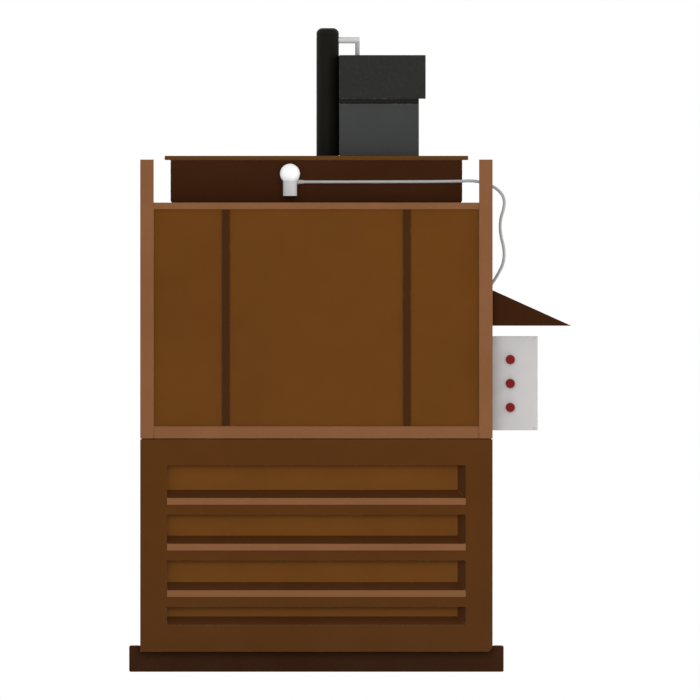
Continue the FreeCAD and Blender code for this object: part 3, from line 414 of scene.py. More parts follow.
@dataclass(frozen=True)
class Weld:
    """The small ripples of a painted fillet weld."""

    slot: str
    colour: Rgb
    gloss: float = 0.2
    cloud_size: float = 0.009
    ripple: float = 0.0022
    ripple_depth: float = 0.0004

    def make(self, shade: Shade) -> bpy.types.Material:
        """Build the weld's nodes.

        Args:
            shade: The empty material.

        Returns:
            The finished one.
        """
        cloud = shade.noise(self.cloud_size, 4.0, 0.7)
        deep = linear(self.colour, 0.7)
        return shade.finish({
            "Base Color": shade.mix(shade.span(cloud, 0.35, 0.7), linear(self.colour), deep),
            "Roughness": shade.span(cloud, 0.3, 0.7, 0.42, 0.6),
            "Specular IOR Level": self.gloss,
            "Normal": shade.bump(shade.noise(self.ripple, 2.0, 0.5), self.ripple_depth, 0.8),
        })


class Coat(Enum):
    """Every finish on the machine, named as the part's material slots."""

    BASE = Paint("base_brown", (57, 29, 9), gloss=0.06)
    DOOR = Paint("door_brown", (84, 47, 10))
    PANEL = Paint("panel_brown", (99, 58, 13))
    # Floors of the door's recess pans: the panel paint made lighter, painted light against the
    # recesses' shade.
    PAN_PAINTED_LIGHT = Paint("panel_brown", (105, 63, 17))
    # Right and lower slopes of the pans: a darker paint that is painted shade.
    SLOPE_SHADE = Paint("rib_brown", (71, 38, 11), dust=0.0)
    RIB = Paint("rib_brown", (62, 33, 6))
    RAIL = Paint("rail_tan", (129, 86, 54), chip=(96, 84, 74))
    TOP = Paint("top_brown", (93, 57, 19), dust=0.04)
    CYLINDER = Paint("cylinder_black", (25, 24, 20), chip=(92, 90, 86), gloss=0.06, mottle=0.05)
    COVER = Paint("cover_grey", (43, 43, 41), chip=(110, 110, 108), gloss=0.08, hammer=0.03)
    # The lid's flutes are only stripes of painted shade.
    LID = Paint("lid_grey", (31, 31, 30), chip=(104, 104, 102), gloss=0.07, flutes=0.008)
    TANK = Paint("tank_grey", (63, 65, 64), chip=(124, 124, 122))
    PIPE = Paint("pipe_grey", (221, 221, 220), chip=(140, 138, 134), roughness=0.4)
    # The riser: a darker copy of the pipe paint, which is painted shade.
    PIPE_SHADE = Paint("pipe_grey", (188, 188, 187), chip=(110, 108, 104), roughness=0.4)
    MOTOR = Paint("motor_paint", (80, 84, 86), chip=(120, 120, 118))
    BOX = Paint("box_grey", (200, 199, 199), chip=(120, 116, 112), mottle=0.02, grime=0.15)
    BARE = Steel("bare_steel", (150, 150, 148), scratches=0.3, stain=0.22)
    CHROME = Steel("bare_steel", (188, 189, 190), roughness=0.16, lines=(1.0, 1.0, 9.0),
                   scratches=0.1, stain=0.12)
    ZINC = Steel("zinc", (170, 170, 165), roughness=0.42, scratches=0.15, stain=0.2,
                 stain_colour=(120, 108, 92))
    NYLON = Plastic("nylon", (225, 222, 210), roughness=0.5)
    LAMP = Plastic("lamp_white", (250, 251, 252), roughness=0.34, gloss=0.25, mottle=0.004,
                   rubbed=0.0, glow=0.05)
    CABLE = Plastic("cable_grey", (180, 180, 179), roughness=0.62, gloss=0.12, grain=0.0008,
                    grain_depth=0.00005)
    BUTTON = Plastic("button_red", (124, 20, 20), roughness=0.34, gloss=0.14)
    BLACK = Plastic("black_plastic", (35, 35, 36), roughness=0.5, gloss=0.2)
    BASE_WELD = Weld("base_brown", (55, 26, 7))
    DOOR_WELD = Weld("door_brown", (84, 47, 10))

    @property
    def slot(self) -> str:
        """The record's material slot of this finish."""
        return self.value.slot

    @cached_property
    def material(self) -> bpy.types.Material:
        """The finish's one material, made when it is first asked for."""
        return self.value.make(Shade(bpy.data.materials.new(self.name.lower())))


@dataclass(frozen=True)
class Round:
    """The rounding that a press brake, a tube mill or a grinder leaves on a piece's edges."""

    radius: float
    segments: int = 2
    from_length: float = 0.0
    from_angle: float = 50.0

    def soften(self, mesh: Mesh) -> None:
        """Round a shape's edges, but leave small bores and shallow folds as they are.

        Args:
            mesh: The shape.
        """
        bmesh.ops.connect_verts_concave(mesh, faces=mesh.faces[:])
        found = [
            edge for edge in mesh.edges
            if len(edge.link_faces) == 2 and edge.calc_length() > self.from_length
            and edge.calc_face_angle(0.0) > math.radians(self.from_angle)
        ]
        bevel(mesh, found, self.radius, self.segments)
        bmesh.ops.dissolve_degenerate(mesh, dist=1e-6, edges=mesh.edges[:])


def bevel(mesh: Mesh, geometry: Sequence[Any], radius: float, segments: int,
          affect: str = "EDGES") -> None:
    """Round some edges or corners of a shape.

    Args:
        mesh: The shape.
        geometry: Its edges or corners.
        radius: The rounding's radius.
        segments: Faces across it.
        affect: EDGES or VERTICES.
    """
    bmesh.ops.bevel(mesh, geom=geometry, offset=radius, offset_type="OFFSET", segments=segments,
                    profile=0.5, affect=affect, clamp_overlap=True, material=-1)


def publish(name: str, mesh: Mesh, body: str, coats: Sequence[Coat], nodes: Sequence[str] = (),
            sharp: float = 38.0) -> None:
    """Turn a finished bmesh into a piece that rides on a body.

    Args:
        name: The piece's name.
        mesh: The shape, which is freed here.
        body: The CAD body that carries the piece.
        coats: The finishes, in the order of the faces' material numbers.
        nodes: The CAD nodes that the piece stands for.
        sharp: Angle in degrees from which an edge stays sharp.
    """
    data = bpy.data.meshes.new(name)
    mesh.to_mesh(data)
    mesh.free()
    for coat in coats:
        data.materials.append(coat.material)
    data.shade_smooth()
    data.set_sharp_from_angle(angle=math.radians(sharp))
    piece = link(name, data)
    piece.modifiers.new("Normals", "WEIGHTED_NORMAL").keep_sharp = True
    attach(piece, body)
    coats[0].slot
    if nodes:
        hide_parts(*nodes)
    log.info("%s on %s, %d faces", name, body, len(data.polygons))


def link(name: str, data: bpy.types.ID) -> bpy.types.Object:
    """Put a new object into the scene.

    Args:
        name: Its name.
        data: Its mesh, curve, camera or lamp.

    Returns:
        The object.
    """
    item = bpy.data.objects.new(name, data)
    bpy.context.scene.collection.objects.link(item)
    return item


def copy_of(node: str) -> Mesh:
    """A merged copy of a CAD node, with its flat faces whole again.

    Args:
        node: The node's name.

    Returns:
        The copy.
    """
    mesh = bmesh.new()
    mesh.from_mesh(frame["nodes"][node].data)
    bmesh.ops.remove_doubles(mesh, verts=mesh.verts[:], dist=2e-6)
    flatten(mesh, 0.8)
    return mesh


def flatten(mesh: Mesh, angle: float) -> None:
    """Join a shape's faces that meet at less than an angle in degrees."""
    bmesh.ops.dissolve_limit(mesh, angle_limit=math.radians(angle), verts=mesh.verts[:],
                             edges=mesh.edges[:])


def soft_copies(body: str, coat: Coat, rounding: Round, *nodes: str) -> None:
    """Make a piece with rounded edges in the exact place of each CAD node.

    Args:
        body: The body that carries them.
        coat: Their finish.
        rounding: How their edges are rounded.
        nodes: The CAD nodes that they stand for.
    """
    for node in nodes:
        mesh = copy_of(node)
        rounding.soften(mesh)
        publish(f"{node}_dressed", mesh, body, [coat], [node])


def merge_into(mesh: Mesh, part: Mesh, coat: int) -> None:
    """Join a part to a shape and free it.

    Args:
        mesh: The shape.
        part: The part.
        coat: The material number of the part's faces.
    """
    for face in part.faces:
        face.material_index = coat
    data = bpy.data.meshes.new("part")
    part.to_mesh(data)
    part.free()
    mesh.from_mesh(data)
    bpy.data.meshes.remove(data)


def along(axis: Axis, start: Sequence[float], sign: int = 1) -> Matrix:
    """The place of a shape that is turned about Z, laid from a point up or down an axis."""
    return Matrix.Translation(start) @ turned_to(Vector(axis.value) * sign)


def turned_to(line: Vector) -> Matrix:
    """The turn that lays the Z axis along a line."""
    return Vector(Axis.Z.value).rotation_difference(line).to_matrix().to_4x4()


def add_box(mesh: Mesh, low: Point, high: Point, radius: float, segments: int = 2,
            coat: int = 0) -> None:
    """Add a block with rounded edges.

    Args:
        mesh: The shape that it joins.
        low: Its lowest corner.
        high: Its highest corner.
        radius: The edges' radius.
        segments: Faces across each rounding.
        coat: The material number of its faces.
    """
    spread = Vector(high) - Vector(low)
    place = Matrix.Translation(Vector(low) + spread / 2) @ Matrix.Diagonal((*spread, 1.0))
    part = bmesh.new()
    bmesh.ops.create_cube(part, size=1.0, matrix=place)
    bevel(part, part.edges[:], radius, segments)
    merge_into(mesh, part, coat)


def arc(middle: tuple[float, float], radius: float, start: float, end: float,
        steps: int) -> Profile:
    """An arc in the profile of a turned shape.

    Args:
        middle: The radius and height of its centre.
        radius: Its own radius.
        start: Where it starts, in degrees above straight outwards.
        end: Where it ends.
        steps: How many faces it has.

    Returns:
        Its points, with both ends.
    """
    turns = [math.radians(start + (end - start) * step / steps) for step in range(steps + 1)]
    return [(middle[0] + radius * math.cos(turn), middle[1] + radius * math.sin(turn))
            for turn in turns]


def disc(radius: float, low: float, high: float) -> Profile:
    """The profile of a plain disc or rod."""
    return [(0.0, low), (radius, low), (radius, high), (0.0, high)]


def add_turned(mesh: Mesh, profile: Profile, place: Matrix, steps: int = 32,
               rounding: float = 0.0, coat: int = 0, rounds: int = 2) -> None:
    """Add a shape turned on a lathe.

    Args:
        mesh: The shape that it joins.
        profile: Its (radius, height) corners, from one end of the axis to the other.
        place: Where its axis stands.
        steps: Faces round it.
        rounding: Radius of its corners.
        coat: The material number of its faces.
        rounds: Faces across each rounded corner.
    """
    part = bmesh.new()
    corners = [part.verts.new((radius, 0.0, height)) for radius, height in profile]
    for first, second in zip(corners, corners[1:]):
        part.edges.new((first, second))
    if rounding > 0:
        bevel(part, corners[1:-1], rounding, rounds, "VERTICES")
    bmesh.ops.spin(part, geom=part.verts[:] + part.edges[:], cent=(0, 0, 0), axis=(0, 0, 1),
                   dvec=(0, 0, 0), angle=math.tau, steps=steps, use_merge=True)
    bmesh.ops.remove_doubles(part, verts=part.verts[:], dist=1e-6)
    bmesh.ops.recalc_face_normals(part, faces=part.faces[:])
    bmesh.ops.transform(part, matrix=place, verts=part.verts[:])
    merge_into(mesh, part, coat)


def add_around(mesh: Mesh, part: Mesh, place: Matrix, count: int) -> None:
    """Add copies of a part all round an axis.

    Args:
        mesh: The shape that they join.
        part: The part beside the Z axis, which is freed here.
        place: Where the axis stands.
        count: How many copies there are.
    """
    bmesh.ops.spin(part, geom=part.verts[:] + part.edges[:] + part.faces[:], cent=(0, 0, 0),
                   axis=(0, 0, 1), dvec=(0, 0, 0), angle=math.tau * (count - 1) / count,
                   steps=count - 1, use_duplicate=True)
    bmesh.ops.transform(part, matrix=place, verts=part.verts[:])
    merge_into(mesh, part, 0)


def add_bolt(mesh: Mesh, place: Matrix, across: float, height: float, coat: int = 0,
             washer: bool = True) -> None:
    """Add a hexagon head with a turned chamfer and, if wanted, a washer under it.

    Args:
        mesh: The shape that it joins.
        place: The head's seat.
        across: The head's width over its corners.
        height: The head's height.
        coat: The material number of its faces.
        washer: Whether a washer lies under it.
    """
    part = bmesh.new()
    lift = height * 0.16 if washer else 0.0
    bmesh.ops.create_cone(part, cap_ends=True, segments=6, radius1=across / 2, radius2=across / 2,
                          depth=height, matrix=Matrix.Translation((0, 0, lift + height / 2)))
    top = [face for face in part.faces if face.normal.z > 0.9]
    bevel(part, list({edge for face in top for edge in face.edges}), across * 0.07, 2)
    if washer:
        add_turned(part, disc(across * 0.62, 0.0, lift), Matrix(), 20, lift * 0.25)
    bmesh.ops.transform(part, matrix=place, verts=part.verts[:])
    merge_into(mesh, part, coat)


def add_weld(mesh: Mesh, start: Point, end: Point, radius: float = 0.0035,
             pitch: float = 0.005) -> None:
    """Add one bead of weld with its ripples.

    Args:
        mesh: The shape that it joins.
        start: Where the bead starts, in the corner that it fills.
        end: Where it ends.
        radius: The bead's radius.
        pitch: Distance between its ripples.
    """
    line = Vector(end) - Vector(start)
    count = max(3, round(line.length / pitch))
    blunt = 0.55
    part = bmesh.new()
    ring = bmesh.ops.create_circle(part, cap_ends=True, segments=8, radius=radius * blunt)["verts"]
    edges = part.edges[:]
    for step in range(1, count + 1):
        made = bmesh.ops.extrude_edge_only(part, edges=edges)["geom"]
        ring = [item for item in made if isinstance(item, bmesh.types.BMVert)]
        edges = [item for item in made if isinstance(item, bmesh.types.BMEdge)
                 and item.verts[0] in ring and item.verts[1] in ring]
        bmesh.ops.translate(part, vec=(0, 0, line.length / count), verts=ring)
        swell = 1.0 + 0.09 * math.sin(step * 2.4) + 0.05 * math.sin(step * 0.83 + 1.0)
        wanted = radius * (blunt if step == count else swell)
        now = ring[0].co.to_2d().length
        bmesh.ops.scale(part, vec=(wanted / now, wanted / now, 1.0), verts=ring)
    bmesh.ops.contextual_create(part, geom=edges)
    bmesh.ops.recalc_face_normals(part, faces=part.faces[:])
    place = Matrix.Translation(start) @ turned_to(line)
    bmesh.ops.transform(part, matrix=place, verts=part.verts[:])
    merge_into(mesh, part, 0)


@dataclass
class Studio:
    """The pale floor, the soft light and the camera in front of the machine."""

    middle: Point = (0.1344, 0.0, 1.2872)
    view_width: float = 2.8
    distance: float = 8.0
    floor_size: float = 60.0
    haze_start: float = 1.5
    haze_end: float = 6.0
    fill: float = 0.5
    aim: Point = (0.0, 0.0, 1.2)

    def build(self) -> None:
        """Set the whole stage, with one wide soft lamp in front and weaker ones round the machine."""
        bpy.context.scene.view_settings.view_transform = "Standard"
        self.set_camera()
        self.set_floor()
        self.set_world()
        self.add_lamp("front", (0.1, -9.0, 2.4), 5.0, 330.0)
        self.add_lamp("right", (7.0, -1.0, 3.4), 4.0, 170.0)
        self.add_lamp("left", (-7.0, 0.5, 3.4), 4.0, 130.0)
        self.add_lamp("back", (1.0, 8.0, 3.4), 5.0, 250.0)

    def set_camera(self) -> None:
        """Stand the camera square to the machine's front."""
        data = bpy.data.cameras.new("camera")
        data.type = "ORTHO"
        data.ortho_scale = self.view_width
        camera = link("camera", data)
        camera.location = (self.middle[0], -self.distance, self.middle[2])
        camera.rotation_euler = (math.radians(90), 0, 0)
        bpy.context.scene.camera = camera

    def set_floor(self) -> None:
        """Lay the floor, a little uneven in tone, that keeps the machine's shadow."""
        mesh = bmesh.new()
        bmesh.ops.create_grid(mesh, x_segments=1, y_segments=1, size=self.floor_size / 2)
        data = bpy.data.meshes.new("floor")
        mesh.to_mesh(data)
        mesh.free()
        shade = Shade(bpy.data.materials.new("floor"))
        tone = shade.span(shade.noise(1.4, 4.0), 0.3, 0.7)
        away = shade.add("VectorMath", {0: shade.place}, operation="LENGTH").outputs["Value"]
        haze = shade.span(away, self.haze_start, self.haze_end, 0.0, 0.6)
        seen = shade.add("LightPath").outputs["Is Camera Ray"]
        data.materials.append(shade.finish({
            "Base Color": shade.mix(tone, linear((232, 231, 229)), linear((240, 239, 238))),
            "Roughness": shade.span(tone, 0.0, 1.0, 0.75, 0.85),
            "Specular IOR Level": 0.2,
            "Normal": shade.bump(shade.noise(0.02, 3.0), 0.0002, 0.3),
            "Emission Color": WHITE,
            "Emission Strength": shade.times(haze, seen),
        }))
        link("floor", data)

    def set_world(self) -> None:
        """White to the camera and in reflections, and a soft fill on everything."""
        world = bpy.data.worlds.new("studio")
        bpy.context.scene.world = world
        shade = Shade(world)
        rays = shade.add("LightPath").outputs
        seen = shade.math("MAXIMUM", rays["Is Camera Ray"], rays["Is Glossy Ray"])
        seen = shade.math("MAXIMUM", seen, rays["Is Transmission Ray"])
        strength = shade.span(seen, 0.0, 1.0, self.fill, 1.0)
        sky = shade.add("Background", {"Color": WHITE, "Strength": strength})
        shade.add("OutputWorld", {"Surface": sky.outputs[0]})

    def add_lamp(self, name: str, place: Point, width: float, power: float) -> None:
        """Hang one square soft lamp that points at the machine's middle.

        Args:
            name: The lamp's name.
            place: Where it hangs.
            width: The length of its sides.
            power: Its power in watts.
        """
        data = bpy.data.lights.new(name, "AREA")
        data.size = width
        data.energy = power
        lamp = link(name, data)
        lamp.location = place
        lamp.rotation_euler = (Vector(self.aim) - Vector(place)).to_track_quat("-Z", "Y").to_euler()
        lamp.visible_camera = False
        lamp.visible_glossy = False


@dataclass
class SignalLamp:
    """The lamp on the press head and the cable that runs from it to the control box."""

    cable_plane: float = -0.3263
    cable_radius: float = 0.006
    cable_length: float = 1.4
    route: Sequence[tuple[float, float]] = (
        (-0.0778, 1.9596), (0.5398, 1.9596), (0.6398, 1.9666), (0.7218, 1.9376),
        (0.7608, 1.8846), (0.7268, 1.7846), (0.7608, 1.6586), (0.7158, 1.5686),
        (0.673, 1.518), (0.678, 1.44), (0.678, 1.372),
    )
    globe_centre: Point = (-0.1058, -0.372, 1.9924)
    globe_radius: float = 0.04
    globe_start: float = -45.0
    gland_wall: float = 0.0042
    gland_grip: float = 0.0006
    gland_length: float = 0.027
    gland_collar: float = 0.006

    def build(self) -> None:
        """Build the cable first, then the lamp."""
        points = [(x, self.cable_plane, z) for x, z in self.route]
        self.build_cable(points)
        self.build_globe()
        soft_copies("frame", Coat.BOX, Round(0.0018, 3, 0.006), "lamp_socket")
        self.build_glands(points[0], points[-1])

    def build_cable(self, points: Sequence[Point]) -> None:
        """Lay the cable on one smooth curve through its route.

        Args:
            points: The route's points.
        """
        curve = bpy.data.curves.new("lamp_lead", "CURVE")
        curve.dimensions = "3D"
        curve.resolution_u = 12
        curve.bevel_depth = self.cable_radius
        curve.bevel_resolution = 4
        curve.use_fill_caps = True
        line = curve.splines.new("NURBS")
        line.points.add(len(points) - 1)
        for point, place in zip(line.points, points):
            point.co = (*place, 1.0)
        line.order_u = 3
        line.use_endpoint_u = True
        curve.materials.append(Coat.CABLE.material)
        cable = link("lamp_lead", curve)
        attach(cable, "frame")
        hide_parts("lamp_cable")
        log.info("lamp_lead on frame")

    def build_globe(self) -> None:
        """Turn the opal globe."""
        mesh = bmesh.new()
        ball = arc((0.0, 0.0), self.globe_radius, self.globe_start, 90.0, 26)
        add_turned(mesh, [(0.0, ball[0][1]), *ball], Matrix.Translation(self.globe_centre), 64)
        publish("lamp_lens", mesh, "frame", [Coat.LAMP], ["lamp_globe"])

    def build_glands(self, start: Point, end: Point) -> None:
        """Turn the two glands that hold the cable where it leaves lamp and box.

        Args:
            start: The cable's end at the lamp.
            end: Its end at the box.
        """
        mesh = bmesh.new()
        wide = self.cable_radius + self.gland_wall
        slim = self.cable_radius + self.gland_grip
        bore = slim - 0.002
        collar, length = self.gland_collar, self.gland_length
        sleeve = [(bore, 0.0), (wide, 0.0), (wide, collar), (wide - 0.0015, collar + 0.001),
                  (slim + 0.0012, length - 0.001), (slim, length), (bore, length), (bore, 0.0)]
        for place in (along(Axis.X, start), along(Axis.Z, end)):
            add_turned(mesh, sleeve, place, 24, 0.0005)
        publish("cable_glands", mesh, "frame", [Coat.CABLE])


@dataclass
class BaseFrame:
    """The tube frame that stands on the floor."""

    box: Extent = extent("base_beam_left", "base_beam_right")
    beam: float = 0.1
    anchor: tuple[float, float] = (0.727, 0.33)
    rounding: Round = Round(0.006, 3, 0.03)

    @property
    def inner(self) -> Vector:
        """The right-hand, back and top corner of the space inside the outer beams."""
        return self.box.high - Vector((self.beam, self.beam, 0.0))

    @property
    def rows(self) -> Sequence[float]:
        """The inner edges of the beams that run from left to right."""
        return (-self.inner.y, -self.beam / 2, self.beam / 2, self.inner.y)

    def build(self) -> None:
        """Weld the beams into one frame, then add its inner beads and the anchor bushes."""
        self.build_beams()
        self.build_welds()
        self.build_bushes()

    def build_beams(self) -> None:
        """Cut the frame's plan and raise it, with the joints ground flush."""
        mesh = bmesh.new()
        bmesh.ops.create_grid(mesh, x_segments=1, y_segments=1, size=1.0)
        bmesh.ops.scale(mesh, vec=(self.box.high.x, self.box.high.y, 1.0), verts=mesh.verts[:])
        cuts = [((x, 0, 0), Axis.X) for x in (-self.inner.x, self.inner.x)]
        cuts += [((0, y, 0), Axis.Y) for y in self.rows]
        for place, axis in cuts:
            bmesh.ops.bisect_plane(mesh, geom=mesh.verts[:] + mesh.edges[:] + mesh.faces[:],
                                   plane_co=place, plane_no=axis.value)
        bays = [
            face for face in mesh.faces
            if abs(face.calc_center_median().x) < self.inner.x
            and self.beam / 2 < abs(face.calc_center_median().y) < self.inner.y
        ]
        bmesh.ops.delete(mesh, geom=bays, context="FACES")
        raised = bmesh.ops.extrude_face_region(mesh, geom=mesh.faces[:])["geom"]
        lifted = [item for item in raised if isinstance(item, bmesh.types.BMVert)]
        bmesh.ops.translate(mesh, vec=(0, 0, self.inner.z), verts=lifted)
        bmesh.ops.recalc_face_normals(mesh, faces=mesh.faces[:])
        self.rounding.soften(mesh)
        nodes = [f"base_beam_{name}" for name in ("left", "right", "front", "middle", "back")]
        publish("base_frame", mesh, "frame", [Coat.BASE], nodes)

    def build_welds(self) -> None:
        """Lay a bead up each inner corner."""
        mesh = bmesh.new()
        for x in (-self.inner.x, self.inner.x):
            for row, out in zip(self.rows, (0.001, -0.001, 0.001, -0.001)):
                add_weld(mesh, (x, row + out, 0.008), (x, row + out, self.inner.z - 0.007))
        publish("base_welds", mesh, "frame", [Coat.BASE_WELD])

    def build_bushes(self) -> None:
        """Turn the plain steel rings that line the four anchor holes."""
        mesh = bmesh.new()
        inner, outer, low, high = 0.009, 0.0165, 0.0002, 0.0012
        ring = [(inner, low), (inner, high), (outer - 0.001, high), (outer, low), (inner, low)]
        for x in (-self.anchor[0], self.anchor[0]):
            for y in (-self.anchor[1], self.anchor[1]):
                place = Matrix.Translation((x, y, self.inner.z))
                add_turned(mesh, ring, place, 36)
                add_turned(mesh, disc(inner + 0.0002, 0.0003, 0.0006), place, 36, coat=1)
        publish("anchor_bushes", mesh, "frame", [Coat.BARE, Coat.BLACK])


@dataclass
class PressChamber:
    """The welded box in which the bale is pressed, with its ribs, sill and header."""

    wall: Extent = extent("side_wall_right")
    plate: float = 0.006
    ribs: Sequence[float] = (0.24, 0.54, 0.84, 1.71)
    back_ribs: Sequence[float] = (0.24, 0.54, 0.84, 1.14, 1.44)
    half_rib: float = 0.03
    bead_out: float = 0.0008
    foot_out: float = 0.001
    foot_bead: float = 0.0035
    sheet: Round = Round(0.0022, 2, 0.02)
    tube: Round = Round(0.004, 3, 0.03)
    beam: Round = Round(0.006, 3, 0.1)

    def build(self) -> None:
        """Round the folded and rolled edges, then lay the welds."""
        for side in ("left", "right"):
            soft_copies("frame", Coat.DOOR, self.sheet, f"side_wall_{side}")
            soft_copies("frame", Coat.DOOR, self.tube, f"front_post_{side}")
        soft_copies("frame", Coat.DOOR, self.sheet, "back_wall")
        soft_copies("frame", Coat.DOOR, Round(0.004, 3, 0.1), "feed_sill")
        soft_copies("frame", Coat.DOOR, self.sheet, "feed_header")
        soft_copies("frame", Coat.DOOR, self.beam, "top_beam_front", "top_beam_back")
        soft_copies("frame", Coat.BARE, Round(0.0008, 1, 0.01), "floor_plate")
        mesh = bmesh.new()
        for side in (-1, 1):
            self.weld_side(mesh, side)
        self.weld_back(mesh)
        publish("chamber_welds", mesh, "frame", [Coat.DOOR_WELD])

    def stitch(self, mesh: Mesh, start: Point, end: Point, run: float = 0.05, pitch: float = 0.21,
               radius: float = 0.003) -> None:
        """Lay a row of short beads, as on long seams of thin sheet.

        Args:
            mesh: The shape that they join.
            start: The seam's start.
            end: The seam's end.
            run: Length of each bead.
            pitch: Distance from one bead to the next.
            radius: The beads' radius.
        """
        line = Vector(end) - Vector(start)
        half = line.normalized() * run / 2
        count = max(2, round(line.length / pitch))
        for index in range(count):
            middle = Vector(start) + line * (index + 0.5) / count
            add_weld(mesh, tuple(middle - half), tuple(middle + half), radius)

    def rib_edges(self, ribs: Sequence[float]) -> Iterator[float]:
        """The heights of the seams below and above each rib.

        Args:
            ribs: The heights of the ribs' middles.

        Yields:
            Each seam's height.
        """
        for height in ribs:
            yield height - self.half_rib - self.bead_out
            yield height + self.half_rib + self.bead_out

    def weld_side(self, mesh: Mesh, side: int) -> None:
        """Stitch the ribs to one side wall, and the wall to the post, the back wall and the base.

        Args:
            mesh: The shape that the beads join.
            side: 1 for the right-hand wall and -1 for the other.
        """
        low, high = self.wall.low, self.wall.high
        skin = low.x + self.plate
        x = side * (skin + self.bead_out)
        for z in self.rib_edges(self.ribs):
            self.stitch(mesh, (x, low.y + 0.01, z), (x, high.y - 0.01, z), 0.045, 0.18)
        for y in (low.y + self.bead_out, high.y - self.bead_out):
            self.stitch(mesh, (x, y, low.z + 0.01), (x, y, high.z - 0.02), 0.05, 0.22)
        x = side * (skin + self.foot_out)
        self.stitch(mesh, (x, low.y + 0.02, low.z), (x, high.y - 0.02, low.z), 0.05, 0.15,
                    self.foot_bead)

    def weld_back(self, mesh: Mesh) -> None:
        """Stitch the ribs to the back wall, and the wall to the base.

        Args:
            mesh: The shape that the beads join.
        """
        end = self.wall.low.x - 0.02
        skin = self.wall.high.y + self.plate
        y = skin + self.bead_out
        for z in self.rib_edges(self.back_ribs):
            self.stitch(mesh, (-end, y, z), (end, y, z))
        y = skin + self.foot_out
        self.stitch(mesh, (-end, y, self.wall.low.z), (end, y, self.wall.low.z),
                    radius=self.foot_bead)


@dataclass
class FeedGate:
    """The gate that slides up in its two rails."""

    rail: Round = Round(0.0022, 3, 0.015)
    frame: Round = Round(0.0022, 3, 0.03)
    panel: Round = Round(0.0008)
    stiffener: Round = Round(0.0009)

    def build(self) -> None:
        """Round the rails and the gate's frame, then its panel and stiffeners."""
        soft_copies("frame", Coat.RAIL, self.rail, "gate_rail_left", "gate_rail_right")
        soft_copies("gate", Coat.RAIL, self.frame, "gate_frame")
        soft_copies("gate", Coat.PANEL, self.panel, "gate_panel")
        soft_copies("gate", Coat.RIB, self.stiffener, "gate_ribs")


@dataclass
class BaleDoor:
    """The hinged door with its four recesses and three flat bars."""

    hinge_heights: Sequence[float] = (0.2, 0.53, 0.86)
    pin: float = 0.008
    pin_length: float = 0.03
    pin_foot: float = 0.004
    pin_taper: float = 0.002

    def build(self) -> None:
        """Fold the skin, set the recess pans, the bars, the back frame and the hinges."""
        soft_copies("bale_door", Coat.DOOR, Round(0.0018, 3, 0.02), "door_skin")
        self.build_pans()
        soft_copies("bale_door", Coat.RAIL, Round(0.0007), "door_bars")
        soft_copies("bale_door", Coat.DOOR, Round(0.001, 2, 0.02), "door_frame")
        soft_copies("frame", Coat.DOOR, Round(0.0008, 2, 0.012), "hinge_brackets")
        self.build_pins()

    def build_pans(self) -> None:
        """Press the four pans, with painted light on their floors and painted shade on their right and
        lower slopes.
        """
        mesh = copy_of("door_pans")
        for part in mesh.faces:
            normal = part.normal
            # Right and lower slopes take the darker paint, which is painted shade; the floors take the
            # lighter one, which is painted light.
            painted_shade_slope = normal.y < -0.3 and max(abs(normal.x), abs(normal.z)) > 0.3
            part.material_index = 1 if painted_shade_slope else 0
        Round(0.0007, 2, 0.02, 40.0).soften(mesh)
        publish("door_pans_dressed", mesh, "bale_door", [Coat.PAN_PAINTED_LIGHT, Coat.SLOPE_SHADE], ["door_pans"])

    def build_pins(self) -> None:
        """Turn the hinge pins with their eased tops."""
        mesh = bmesh.new()
        middle = extent("hinge_pins").middle
        top = self.pin_length
        shape = [(0.0, -self.pin_foot), (self.pin, -self.pin_foot), (self.pin, top - self.pin_taper),
                 (self.pin - self.pin_taper, top), (0.0, top)]
        for height in self.hinge_heights:
            add_turned(mesh, shape, Matrix.Translation((middle.x, middle.y, height)), 40, 0.0005)
        publish("hinge_pins_turned", mesh, "frame", [Coat.ZINC], ["hinge_pins"])


@dataclass
class PressHead:
    """The box of thick plates that carries the ram."""

    plates: Sequence[str] = (
        "head_front_plate", "head_back_plate", "head_end_plate_left", "head_end_plate_right",
    )
    bead_out: float = 0.0006
    inset: float = 0.008
    end_bead: float = 0.0028

    def build(self) -> None:
        """Round the cut plates and weld them together."""
        soft_copies("frame", Coat.BASE, Round(0.0012), *self.plates)
        soft_copies("frame", Coat.TOP, Round(0.0015, 2, 0.01), "head_top_plate")
        soft_copies("frame", Coat.BASE, Round(0.0015, 2, 0.02), "cylinder_bridge")
        self.build_welds()

    def build_welds(self) -> None:
        """Lay beads in the corners under the top plate and down the ends."""
        mesh = bmesh.new()
        box = extent(*self.plates)
        z = box.high.z - self.bead_out
        for x in (box.low.x - self.bead_out, box.high.x + self.bead_out):
            add_weld(mesh, (x, box.low.y + 0.02, z), (x, box.high.y - 0.02, z))
            for y in (box.low.y + self.inset, box.high.y - self.inset):
                add_weld(mesh, (x, y, box.low.z + 0.004), (x, y, box.high.z - 0.004), self.end_bead)
        y = box.high.y + self.bead_out
        add_weld(mesh, (box.low.x, y, z), (box.high.x, y, z))
        publish("head_welds", mesh, "frame", [Coat.BASE_WELD])


